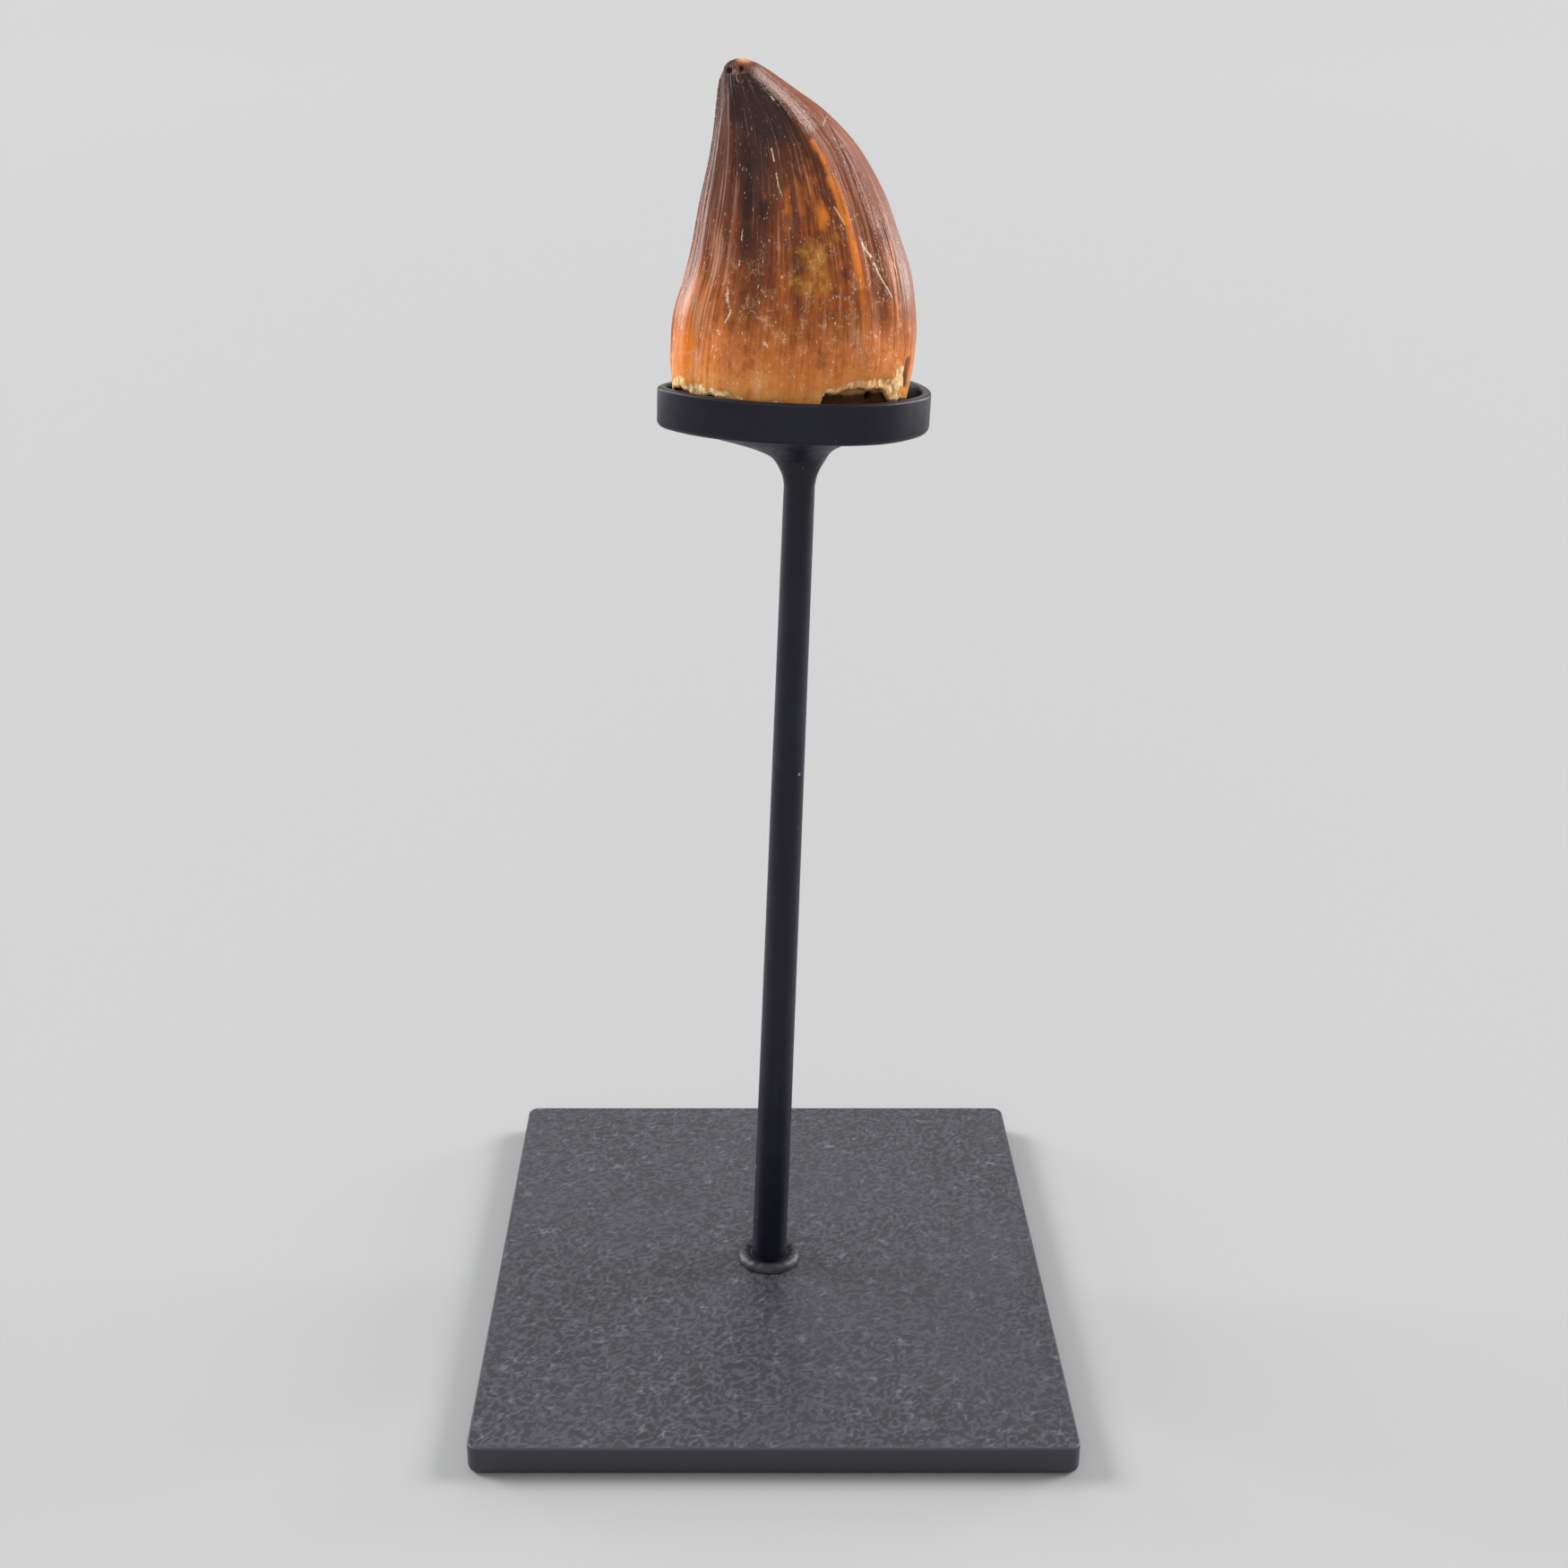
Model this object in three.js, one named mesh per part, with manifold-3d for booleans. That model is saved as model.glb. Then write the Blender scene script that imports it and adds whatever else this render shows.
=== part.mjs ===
// A large fossil mosasaur tooth standing in a shallow tray on a leaning post with a square foot plate.
// Millimetres, +Z up. X runs to the right as the tooth is shown, Y runs away from the viewer.
// The origin is the middle of the plate's underside.
import * as THREE from 'three';
import { mergeVertices } from 'three/addons/utils/BufferGeometryUtils.js';
import Module from 'manifold-3d';

const wasm = await Module();
wasm.setup();

// Foot plate
const plateSide = 100;
const plateThickness = 5.4;
const plateCornerRadius = 2;
const plateTopBevel = 0.4;
const plateBottomRound = 1.1;

// Post, with its slight lean to the right
const postLeanDegrees = 1.565;
const postLength = 148.2;
const postFootRadius = 3.2;
const postTopRadius = 2.5;
const postSides = 32;

// Weld bead around the post's foot
const footWeldInnerRadius = 3.6;
const footWeldOuterRadius = 5.7;
const footWeldHeight = 1.3;

// Tray, measured along the post from the plate's top
const trayUnderside = 156.7;
const trayRim = 163.2;
const trayWall = 1.5;
const trayFloor = 2;
const trayEdgeRound = 0.35;
const trayLowerRound = 1.2;
const trayCurveSteps = 3;

// Free space kept between pieces that meet inside the leaning group
const fit = 0.3;

// Tooth
const toothSides = 80;
const toothStepsPerStation = 3;
const carinaPinch = 0.3;
const baseSkew = 1.2;
const facetEdgeSpread = 8;
const rootUndercut = 0.7;
const hollowUndercut = 0.9;

// The tray's outer edge seen from above, as X and Y: narrow at the left, blunt at the right
const trayOutline = [
  [-22.8, -2], [-21.2, -4.7], [-18, -7.7], [-13.6, -10.4], [-8.4, -12.4], [-2.6, -13.3],
  [3.4, -13.3], [8.8, -12.4], [13.4, -10.4], [17, -7.1], [19.4, -3.5], [20.2, 0.4],
  [19.6, 5], [17.6, 9.6], [13.6, 13], [8, 14.8], [1.6, 15], [-5, 13.9],
  [-11.2, 11.4], [-16.4, 7.9], [-20.4, 3.6], [-22.4, 0.4],
];

// The crown's section at heights above the tray's rim: its left, right, front and back
const crownStations = [
  { height: 0, left: -20.6, right: 16.5, front: -10.8, back: 12 },
  { height: 5, left: -20.8, right: 17.2, front: -11, back: 12.1 },
  { height: 11.5, left: -20.2, right: 17.1, front: -10.4, back: 11.7 },
  { height: 18, left: -18.4, right: 15.9, front: -9.3, back: 10.8 },
  { height: 24.3, left: -17.2, right: 13.7, front: -7.8, back: 9.5 },
  { height: 30.7, left: -16.1, right: 10.8, front: -6.1, back: 8 },
  { height: 36.7, left: -15.1, right: 6.9, front: -4.3, back: 6.5 },
  { height: 41.6, left: -14.5, right: 1.7, front: -2.6, back: 5.2 },
  { height: 44.9, left: -14.2, right: -3.2, front: -1.3, back: 4.3 },
  { height: 46.9, left: -13.8, right: -6.3, front: -0.3, back: 3.6 },
  { height: 47.7, left: -13.55, right: -7.7, front: 0.2, back: 3.1 },
  { height: 48.3, left: -12.95, right: -9, front: 0.7, back: 2.6 },
  { height: 48.65, left: -12.1, right: -10.1, front: 1.2, back: 2.1 },
];
const tipHeight = 48.8;

// Edges of the crown's long flat facets: their place around the tooth in degrees at the rim,
// how many degrees they turn for each millimetre upwards, and their rise
const facetEdges = [
  { turn: -55, turnPerHeight: -0.32, rise: 0.035 },
  { turn: -94, turnPerHeight: -0.12, rise: 0.014 },
  { turn: -124, turnPerHeight: 0, rise: 0.018 },
  { turn: -152, turnPerHeight: 0, rise: 0.018 },
  { turn: 58, turnPerHeight: 0.1, rise: 0.022 },
  { turn: 96, turnPerHeight: 0, rise: 0.018 },
  { turn: 134, turnPerHeight: 0, rise: 0.02 },
];

// The crown's broken lower edge: where it runs at the front, the chips at its left and the hollow at
// its right, which starts steeply and ends softly. Turns are in degrees, with -90 at the front.
const brokenEdgeLevel = -1.1;
const leftChips = [
  { turn: -160, rise: 1.2, spread: 21 },
  { turn: -126, rise: 0.6, spread: 16 },
];
const hollow = { start: -78, startTop: -74, endTop: -44, end: -32, rise: 2.2, extraRise: 0.6 };
const hole = { x: 9.9, y: -7.2, aboveRim: 0.1, radius: 0.6, mouthRadius: 0.75, depth: 4 };

// The neck weld's section along the post: how far it flares to each side
const neckStations = [
  { along: 148.5, left: -2.6, right: 2.6, reach: 2.6 },
  { along: 149.9, left: -3.1, right: 3, reach: 2.9 },
  { along: 151.2, left: -3.9, right: 3.6, reach: 3.4 },
  { along: 152.2, left: -4.8, right: 4.2, reach: 3.9 },
  { along: 152.9, left: -6.1, right: 4.6, reach: 4.5 },
  { along: 153.6, left: -7.9, right: 5.2, reach: 5.2 },
  { along: 154.3, left: -10.3, right: 6.2, reach: 6.1 },
  { along: 155.1, left: -13.6, right: 7.7, reach: 7.2 },
  { along: 155.8, left: -15.9, right: 9.4, reach: 8.2 },
  { along: 156.4, left: -17.2, right: 10.6, reach: 8.8 },
];
const neckSides = 36;

// Closes a stack of rings into one body. Each ring runs counter-clockwise seen from above.
function loftRings(rings, capLift = 0) {
  const ringSize = rings[0].length;
  const positions = rings.flat().flatMap((point) => [point.x, point.y, point.z]);
  const indices = [];
  for (let level = 0; level + 1 < rings.length; level += 1) {
    for (let i = 0; i < ringSize; i += 1) {
      const near = level * ringSize + i;
      const nearNext = level * ringSize + ((i + 1) % ringSize);
      indices.push(near, nearNext, nearNext + ringSize, near, nearNext + ringSize, near + ringSize);
    }
  }
  addCap(positions, indices, rings[0], 0, 0, true);
  addCap(positions, indices, rings.at(-1), (rings.length - 1) * ringSize, capLift, false);
  const geometry = new THREE.BufferGeometry();
  geometry.setAttribute('position', new THREE.Float32BufferAttribute(positions, 3));
  geometry.setIndex(indices);
  geometry.computeVertexNormals();
  return geometry;
}

// Fans a ring to its middle, which may stand a little above it
function addCap(positions, indices, ring, firstIndex, lift, facesDown) {
  const middle = new THREE.Vector3();
  ring.forEach((point) => middle.add(point));
  middle.divideScalar(ring.length);
  const middleIndex = positions.length / 3;
  positions.push(middle.x, middle.y, middle.z + lift);
  for (let i = 0; i < ring.length; i += 1) {
    const here = firstIndex + i;
    const next = firstIndex + ((i + 1) % ring.length);
    indices.push(middleIndex, facesDown ? next : here, facesDown ? here : next);
  }
}

function roundedSquareRing(side, radius, z) {
  const arcSteps = 6;
  const reach = side / 2 - radius;
  const ring = [];
  for (let corner = 0; corner < 4; corner += 1) {
    const startTurn = (corner * Math.PI) / 2;
    const centreX = reach * (corner === 0 || corner === 3 ? 1 : -1);
    const centreY = reach * (corner < 2 ? 1 : -1);
    for (let step = 0; step <= arcSteps; step += 1) {
      const turn = startTurn + ((step / arcSteps) * Math.PI) / 2;
      ring.push(new THREE.Vector3(centreX + radius * Math.cos(turn), centreY + radius * Math.sin(turn), z));
    }
  }
  return ring;
}

function makePlateGeometry() {
  const rings = [];
  const roundSteps = 3;
  for (let step = 0; step <= roundSteps; step += 1) {
    const turn = ((step / roundSteps) * Math.PI) / 2;
    const inset = plateBottomRound * (1 - Math.sin(turn));
    const z = plateBottomRound * (1 - Math.cos(turn));
    rings.push(roundedSquareRing(plateSide - 2 * inset, plateCornerRadius - inset, z));
  }
  rings.push(roundedSquareRing(plateSide, plateCornerRadius, plateThickness - plateTopBevel));
  const topSide = plateSide - 2 * plateTopBevel;
  rings.push(roundedSquareRing(topSide, plateCornerRadius - plateTopBevel, plateThickness));
  return loftRings(rings);
}

function makeFootWeldGeometry() {
  const bead = new THREE.SplineCurve([
    new THREE.Vector2(footWeldOuterRadius, 0),
    new THREE.Vector2(footWeldOuterRadius - 0.15, 0.55),
    new THREE.Vector2(footWeldOuterRadius - 0.75, footWeldHeight - 0.15),
    new THREE.Vector2(footWeldOuterRadius - 1.3, footWeldHeight),
    new THREE.Vector2(footWeldInnerRadius, footWeldHeight - 0.35),
  ]);
  const profile = [new THREE.Vector2(footWeldInnerRadius, 0), ...bead.getPoints(7)];
  profile.push(profile[0].clone());
  const geometry = new THREE.LatheGeometry(profile, 40);
  geometry.rotateX(Math.PI / 2);
  return geometry;
}

function makePostGeometry() {
  const length = postLength - fit;
  const geometry = new THREE.CylinderGeometry(postTopRadius, postFootRadius, length, postSides);
  geometry.rotateX(Math.PI / 2);
  geometry.translate(0, 0, fit + length / 2);
  return geometry;
}

function makeNeckWeldGeometry() {
  const rings = neckStations.map((station) => {
    const ring = [];
    for (let i = 0; i < neckSides; i += 1) {
      const turn = (i / neckSides) * 2 * Math.PI;
      const side = Math.cos(turn) < 0 ? -station.left : station.right;
      ring.push(new THREE.Vector3(side * Math.cos(turn), station.reach * Math.sin(turn), station.along));
    }
    return ring;
  });
  return loftRings(rings);
}

function trayCurvePoints() {
  const knots = trayOutline.map(([x, y]) => new THREE.Vector3(x, y, 0));
  const curve = new THREE.CatmullRomCurve3(knots, true, 'catmullrom', 0.5);
  return curve.getPoints(knots.length * trayCurveSteps).slice(0, -1);
}

// The tray's outline moved inwards by an even distance
function insetTrayRing(outline, inset, z) {
  return outline.map((point, i) => {
    const before = outline.at(i - 1);
    const after = outline[(i + 1) % outline.length];
    const along = new THREE.Vector3().subVectors(after, before).normalize();
    return new THREE.Vector3(point.x - along.y * inset, point.y + along.x * inset, z);
  });
}

function makeTrayGeometry() {
  const outline = trayCurvePoints();
  const innerFloor = trayUnderside + trayFloor;
  const profile = [
    [trayLowerRound, trayUnderside],
    [trayLowerRound * 0.4, trayUnderside + trayLowerRound * 0.2],
    [trayLowerRound * 0.08, trayUnderside + trayLowerRound * 0.6],
    [0, trayUnderside + trayLowerRound * 1.1],
    [0, trayRim - trayEdgeRound],
    [trayEdgeRound * 0.3, trayRim - trayEdgeRound * 0.3],
    [trayEdgeRound, trayRim],
    [trayWall - trayEdgeRound, trayRim],
    [trayWall, trayRim - trayEdgeRound],
    [trayWall, innerFloor],
  ];
  return loftRings(profile.map(([inset, z]) => insetTrayRing(outline, inset, z)));
}

// A bump that is 1 at its middle and fades over the given spread, both in degrees around the tooth
function bump(turnDegrees, middle, spread) {
  const away = THREE.MathUtils.euclideanModulo(turnDegrees - middle + 180, 360) - 180;
  return Math.exp(-((away / spread) ** 2));
}

// How strongly a turn lies in the broken hollow at the right of the front: sharp at the left side of it
function hollowShare(turnDegrees) {
  const { smoothstep } = THREE.MathUtils;
  const opens = smoothstep(turnDegrees, hollow.start, hollow.startTop);
  const closes = smoothstep(turnDegrees, hollow.endTop, hollow.end);
  return opens * (1 - closes);
}

// Height of the crown's broken lower edge above the tray's rim
function brokenEdgeHeight(turnDegrees) {
  const turn = THREE.MathUtils.degToRad(turnDegrees);
  const jags = 0.22 * Math.sin(11 * turn + 0.8) + 0.16 * Math.sin(19 * turn + 2.1);
  const leftRise = leftChips.reduce(
    (sum, chip) => sum + chip.rise * bump(turnDegrees, chip.turn, chip.spread),
    0,
  );
  const climb = THREE.MathUtils.smoothstep(turnDegrees, hollow.startTop, hollow.endTop - 2);
  const hollowRise = hollow.rise + hollow.extraRise * climb;
  return brokenEdgeLevel + jags + leftRise + hollowRise * hollowShare(turnDegrees);
}

// The facets' edges stand out a little, and the flats between them stay low
function facetRelief(turnDegrees, height) {
  return facetEdges.reduce((sum, edge) => {
    const turn = edge.turn + edge.turnPerHeight * height;
    return sum + edge.rise * bump(turnDegrees, turn, facetEdgeSpread);
  }, 1);
}

// One point of the crown's or the root's skin. A turn of 0 is the right edge and -90 the front.
function crownPoint(station, turnDegrees, inset) {
  const turn = THREE.MathUtils.degToRad(turnDegrees);
  const halfWidth = (station.right - station.left) / 2;
  const middleX = (station.right + station.left) / 2;
  const middleY = (station.front + station.back) / 2;
  const halfDepth = (station.back - station.front) / 2;
  const leftness = (1 - Math.cos(turn)) / 2;
  const ridge = facetRelief(turnDegrees, station.height);
  const squeeze = 1 - carinaPinch * leftness ** 4;
  const skew = (baseSkew * Math.cos(turn) * halfWidth) / 19;
  return new THREE.Vector3(
    middleX + (halfWidth * ridge - inset) * Math.cos(turn),
    middleY + skew + (halfDepth * ridge * squeeze - inset) * Math.sin(turn),
    station.height,
  );
}

// The crown's section at any place along its list of stations
function sectionAt(progress) {
  const asCurve = (key) => new THREE.SplineCurve(
    crownStations.map((station) => new THREE.Vector2(station[key], station.height)),
  );
  const [left, right, front, back] = ['left', 'right', 'front', 'back'].map(
    (key) => asCurve(key).getPoint(progress),
  );
  return { height: left.y, left: left.x, right: right.x, front: front.x, back: back.x };
}

function toothRing(station, insetAt, heightAt) {
  const ring = [];
  for (let i = 0; i < toothSides; i += 1) {
    const turnDegrees = (i / toothSides) * 360 - 180;
    const point = crownPoint(station, turnDegrees, insetAt(turnDegrees));
    point.z = trayRim + heightAt(turnDegrees);
    ring.push(point);
  }
  return ring;
}

function makeToothGeometry() {
  const foot = crownStations[0];
  const rootFoot = trayUnderside + trayFloor + fit - trayRim;
  const undercut = (turn) => rootUndercut + hollowUndercut * hollowShare(turn);
  const rings = [
    toothRing(foot, (turn) => undercut(turn) + 0.7, () => rootFoot),
    toothRing(foot, undercut, () => rootFoot + 0.9),
    toothRing(foot, undercut, (turn) => brokenEdgeHeight(turn) - 0.05),
    toothRing(foot, () => 0.25, brokenEdgeHeight),
  ];
  const levels = (crownStations.length - 1) * toothStepsPerStation;
  for (let level = 1; level <= levels; level += 1) {
    const section = sectionAt(level / levels);
    const fade = Math.max(0, 1 - section.height / 7);
    rings.push(toothRing(section, () => 0, (turn) => section.height + brokenEdgeHeight(turn) * fade));
  }
  return loftRings(rings, tipHeight - crownStations.at(-1).height);
}

function toSolid(geometry) {
  const bare = geometry.clone();
  bare.deleteAttribute('normal');
  bare.deleteAttribute('uv');
  const merged = mergeVertices(bare, 1e-5);
  return new wasm.Manifold(new wasm.Mesh({
    numProp: 3,
    vertProperties: new Float32Array(merged.attributes.position.array),
    triVerts: new Uint32Array(merged.index.array),
  }));
}

function toGeometry(solid) {
  const mesh = solid.getMesh();
  const geometry = new THREE.BufferGeometry();
  geometry.setAttribute('position', new THREE.BufferAttribute(mesh.vertProperties, 3));
  geometry.setIndex(new THREE.BufferAttribute(mesh.triVerts, 1));
  geometry.computeVertexNormals();
  return geometry;
}

// The small round hole in the hollow under the broken edge
function holeCutter() {
  const cutter = new THREE.CylinderGeometry(hole.radius, hole.mouthRadius, hole.depth, 16);
  cutter.translate(hole.x, hole.y, trayRim + hole.aboveRim);
  return cutter;
}

function carveTooth() {
  return toGeometry(toSolid(makeToothGeometry()).subtract(toSolid(holeCutter())));
}

function paintedSteel(color, roughness) {
  return new THREE.MeshStandardMaterial({ color, roughness, metalness: 0.2 });
}

function namedMesh(name, geometry, material) {
  const mesh = new THREE.Mesh(geometry, material);
  mesh.name = name;
  return mesh;
}

const tooth = new THREE.Group();
const platePaint = paintedSteel(0x3a3840, 0.75);
const standPaint = paintedSteel(0x1d1b24, 0.45);
const enamel = new THREE.MeshStandardMaterial({ color: 0xa05a2c, roughness: 0.4, metalness: 0 });

tooth.add(namedMesh('base_plate', makePlateGeometry(), platePaint));
const footWeld = namedMesh('foot_weld', makeFootWeldGeometry(), platePaint);
footWeld.position.z = plateThickness;
tooth.add(footWeld);

const leaning = new THREE.Group();
leaning.position.z = plateThickness;
leaning.rotation.y = THREE.MathUtils.degToRad(postLeanDegrees);
leaning.add(namedMesh('post', makePostGeometry(), standPaint));
leaning.add(namedMesh('neck_weld', makeNeckWeldGeometry(), standPaint));
leaning.add(namedMesh('tray', makeTrayGeometry(), standPaint));
leaning.add(namedMesh('tooth', carveTooth(), enamel));
tooth.add(leaning);

export default tooth;
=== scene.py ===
# A large fossil mosasaur tooth in a shallow tray on a leaning post with a square foot plate.
import bpy
import math
import numpy as np
from mathutils import Matrix, Vector, noise


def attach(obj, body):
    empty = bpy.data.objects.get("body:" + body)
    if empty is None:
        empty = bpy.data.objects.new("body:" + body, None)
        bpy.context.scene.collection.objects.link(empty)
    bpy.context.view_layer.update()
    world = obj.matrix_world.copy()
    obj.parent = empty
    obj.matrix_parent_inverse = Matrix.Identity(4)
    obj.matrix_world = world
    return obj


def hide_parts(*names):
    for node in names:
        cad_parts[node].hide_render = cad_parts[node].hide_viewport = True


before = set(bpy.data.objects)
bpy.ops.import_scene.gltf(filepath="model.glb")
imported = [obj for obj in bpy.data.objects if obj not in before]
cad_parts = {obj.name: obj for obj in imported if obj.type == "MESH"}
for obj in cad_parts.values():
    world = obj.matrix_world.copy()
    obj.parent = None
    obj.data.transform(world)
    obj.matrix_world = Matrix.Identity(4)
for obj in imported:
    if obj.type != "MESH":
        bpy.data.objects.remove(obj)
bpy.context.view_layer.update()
print("frame loaded")

mm = 0.001
body = "root"

# Camera at the photograph's place: level sideways and looking down a little
cameraView = {
    "place": (-5.7, -290.6, 223.9),   # mm
    "pitchDown": 20.0,                # degrees
    "lens": 42.65,                    # mm
    "sensor": 36.0,                   # mm
    "shiftX": 0.029,
    "shiftY": -0.0603,
    "nearest": 0.01,                  # metres
    "farthest": 50.0,                 # metres
}

# The stand's sizes in mm, the same as in the part. What leans is measured along the post.
stand = {
    "plateSide": 100.0,
    "plateThickness": 5.4,
    "lean": 1.565,            # degrees
    "postLength": 148.2,
    "postFootRadius": 3.2,
    "postTopRadius": 2.5,
    "trayUnderside": 156.7,
    "trayRim": 163.2,
}

# Turns what was made upright round the middle of the plate's top, in metres
leaning = Matrix.Translation((0, 0, stand["plateThickness"] * mm)) @ Matrix.Rotation(
    math.radians(stand["lean"]), 4, "Y")


def linkPiece(name, data):
    piece = bpy.data.objects.new(name, data)
    bpy.context.scene.collection.objects.link(piece)
    return piece


def makeCamera():
    data = bpy.data.cameras.new("camera")
    data.sensor_width = cameraView["sensor"]
    data.lens = cameraView["lens"]
    data.shift_x = cameraView["shiftX"]
    data.shift_y = cameraView["shiftY"]
    data.clip_start = cameraView["nearest"]
    data.clip_end = cameraView["farthest"]
    camera = linkPiece("camera", data)
    camera.location = Vector(cameraView["place"]) * mm
    camera.rotation_euler = (math.radians(90 - cameraView["pitchDown"]), 0, 0)
    bpy.context.scene.camera = camera


makeCamera()
print("camera placed")


# Helpers for shapes
def smoothStep(low, high, value):
    share = np.clip((value - low) / (high - low), 0, 1)
    return share * share * (3 - 2 * share)


def splineThrough(points, progress, closed=False):
    # Runs a smooth curve through a list of rows of numbers
    rows = np.array(points, dtype=float)
    spans = len(rows) if closed else len(rows) - 1
    place = np.clip(progress, 0, 1) * spans
    first = np.minimum(place.astype(int), spans - 1)
    share = (place - first)[:, None]

    def pick(step):
        index = first + step
        return rows[index % len(rows)] if closed else rows[np.clip(index, 0, len(rows) - 1)]

    before, start, end, after = (pick(step) for step in (-1, 0, 1, 2))
    startSlope = (end - before) / 2
    endSlope = (after - start) / 2
    cubic = 2 * start - 2 * end + startSlope + endSlope
    square = 3 * end - 3 * start - 2 * startSlope - endSlope
    return ((cubic * share + square) * share + startSlope) * share + start


def quarterRound(radius, steps):
    # Pairs along a rounded edge: the first falls from the radius to nothing while the second grows
    turns = np.linspace(0, math.pi / 2, steps + 1)
    return list(zip(radius * (1 - np.sin(turns)), radius * (1 - np.cos(turns))))


def noiseOver(points, scale, seed=0.0):
    shift = Vector((seed * 7.3, seed * 3.1, seed * 5.7))
    return np.array([noise.noise(Vector(point) * scale + shift) for point in points])


def meshFromRings(name, rings, leans, material, closedLoop=False):
    # rings: levels x points x 3 in mm, counter-clockwise seen from above and listed from below
    levels, size = rings.shape[:2]
    index = np.arange(levels * size).reshape(levels, size)
    if closedLoop:
        index = np.vstack([index, index[:1]])
    near = index[:-1]
    far = index[1:]
    quads = np.stack([near, np.roll(near, -1, 1), np.roll(far, -1, 1), far], axis=-1).reshape(-1, 4)
    vertices = [tuple(point) for point in rings.reshape(-1, 3)]
    faces = [tuple(quad) for quad in quads]
    if not closedLoop:
        low = len(vertices)
        top = (levels - 1) * size
        vertices += [tuple(rings[0].mean(0)), tuple(rings[-1].mean(0))]
        faces += [(low, (i + 1) % size, i) for i in range(size)]
        faces += [(low + 1, top + i, top + (i + 1) % size) for i in range(size)]
    mesh = bpy.data.meshes.new(name)
    mesh.from_pydata(vertices, [], faces)
    mesh.transform(Matrix.Scale(mm, 4))
    if leans:
        mesh.transform(leaning)
    mesh.shade_smooth()
    mesh.materials.append(material)
    return linkPiece(name, mesh)


def addFloats(mesh, name, values):
    attribute = mesh.attributes.new(name, "FLOAT", "POINT")
    attribute.data.foreach_set("value", np.asarray(values, dtype=np.float32).ravel())


def addVectors(mesh, name, values):
    attribute = mesh.attributes.new(name, "FLOAT_VECTOR", "POINT")
    attribute.data.foreach_set("vector", np.asarray(values, dtype=np.float32).ravel())


def standsFor(piece, slot, *nodes):
    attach(piece, body)
    if nodes:
        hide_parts(*nodes)


# Helpers for materials
def newMaterial(name):
    material = bpy.data.materials.new(name)
    material.use_nodes = True
    return material, material.node_tree, material.node_tree.nodes["Principled BSDF"]


def addNode(tree, kind, inputs=None, **settings):
    node = tree.nodes.new(kind)
    for key, value in settings.items():
        setattr(node, key, value)
    for key, value in (inputs or {}).items():
        if isinstance(value, bpy.types.NodeSocket):
            tree.links.new(value, node.inputs[key])
        else:
            node.inputs[key].default_value = value
    return node


def objectPlace(tree):
    return addNode(tree, "ShaderNodeTexCoord").outputs["Object"]


def attributeOutput(tree, name, output):
    return addNode(tree, "ShaderNodeAttribute", attribute_name=name).outputs[output]


def noiseShare(tree, vector, scale, detail=3.0, roughness=0.55):
    return addNode(tree, "ShaderNodeTexNoise", {
        "Vector": vector, "Scale": scale, "Detail": detail, "Roughness": roughness}).outputs["Fac"]


def mapRange(tree, value, low, high, newLow=0.0, newHigh=1.0, smooth=True):
    kind = "SMOOTHSTEP" if smooth else "LINEAR"
    return addNode(tree, "ShaderNodeMapRange", {
        "Value": value, "From Min": low, "From Max": high, "To Min": newLow, "To Max": newHigh},
        interpolation_type=kind).outputs["Result"]


def calculate(tree, operation, first, second=None, third=None):
    node = addNode(tree, "ShaderNodeMath", operation=operation)
    for slot, value in enumerate((first, second, third)):
        if isinstance(value, bpy.types.NodeSocket):
            tree.links.new(value, node.inputs[slot])
        elif value is not None:
            node.inputs[slot].default_value = value
    return node.outputs["Value"]


def mixColors(tree, share, first, second):
    node = addNode(tree, "ShaderNodeMix", data_type="RGBA")
    for identifier, value in (("Factor_Float", share), ("A_Color", first), ("B_Color", second)):
        socket = next(item for item in node.inputs if item.identifier == identifier)
        if isinstance(value, bpy.types.NodeSocket):
            tree.links.new(value, socket)
        elif isinstance(value, (int, float)):
            socket.default_value = value
        else:
            socket.default_value = (*value, 1)
    return next(item for item in node.outputs if item.identifier == "Result_Color")


def colorRamp(tree, share, stops):
    node = addNode(tree, "ShaderNodeValToRGB", {"Fac": share})
    elements = node.color_ramp.elements
    while len(elements) < len(stops):
        elements.new(0.5)
    for element, (position, color) in zip(elements, stops):
        element.position = position
        element.color = (*color, 1)
    return node.outputs["Color"]


def bumpFrom(tree, height, distance, strength=1.0, under=None):
    inputs = {"Height": height, "Distance": distance, "Strength": strength}
    if under is not None:
        inputs["Normal"] = under
    return addNode(tree, "ShaderNodeBump", inputs).outputs["Normal"]


# Helpers for Geometry Nodes
def newTree(name, sizes):
    tree = bpy.data.node_groups.new(name, "GeometryNodeTree")
    tree.interface.new_socket("Geometry", in_out="INPUT", socket_type="NodeSocketGeometry")
    for label, (kind, value) in sizes.items():
        socket = tree.interface.new_socket(label, in_out="INPUT", socket_type=kind)
        if value is not None:
            socket.default_value = value
    tree.interface.new_socket("Geometry", in_out="OUTPUT", socket_type="NodeSocketGeometry")
    return tree, tree.nodes.new("NodeGroupInput").outputs


def endTree(tree, geometry, material):
    real = addNode(tree, "GeometryNodeRealizeInstances", {"Geometry": geometry})
    painted = addNode(tree, "GeometryNodeSetMaterial", {
        "Geometry": real.outputs["Geometry"], "Material": material})
    result = tree.nodes.new("NodeGroupOutput")
    tree.links.new(painted.outputs["Geometry"], result.inputs["Geometry"])


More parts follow.
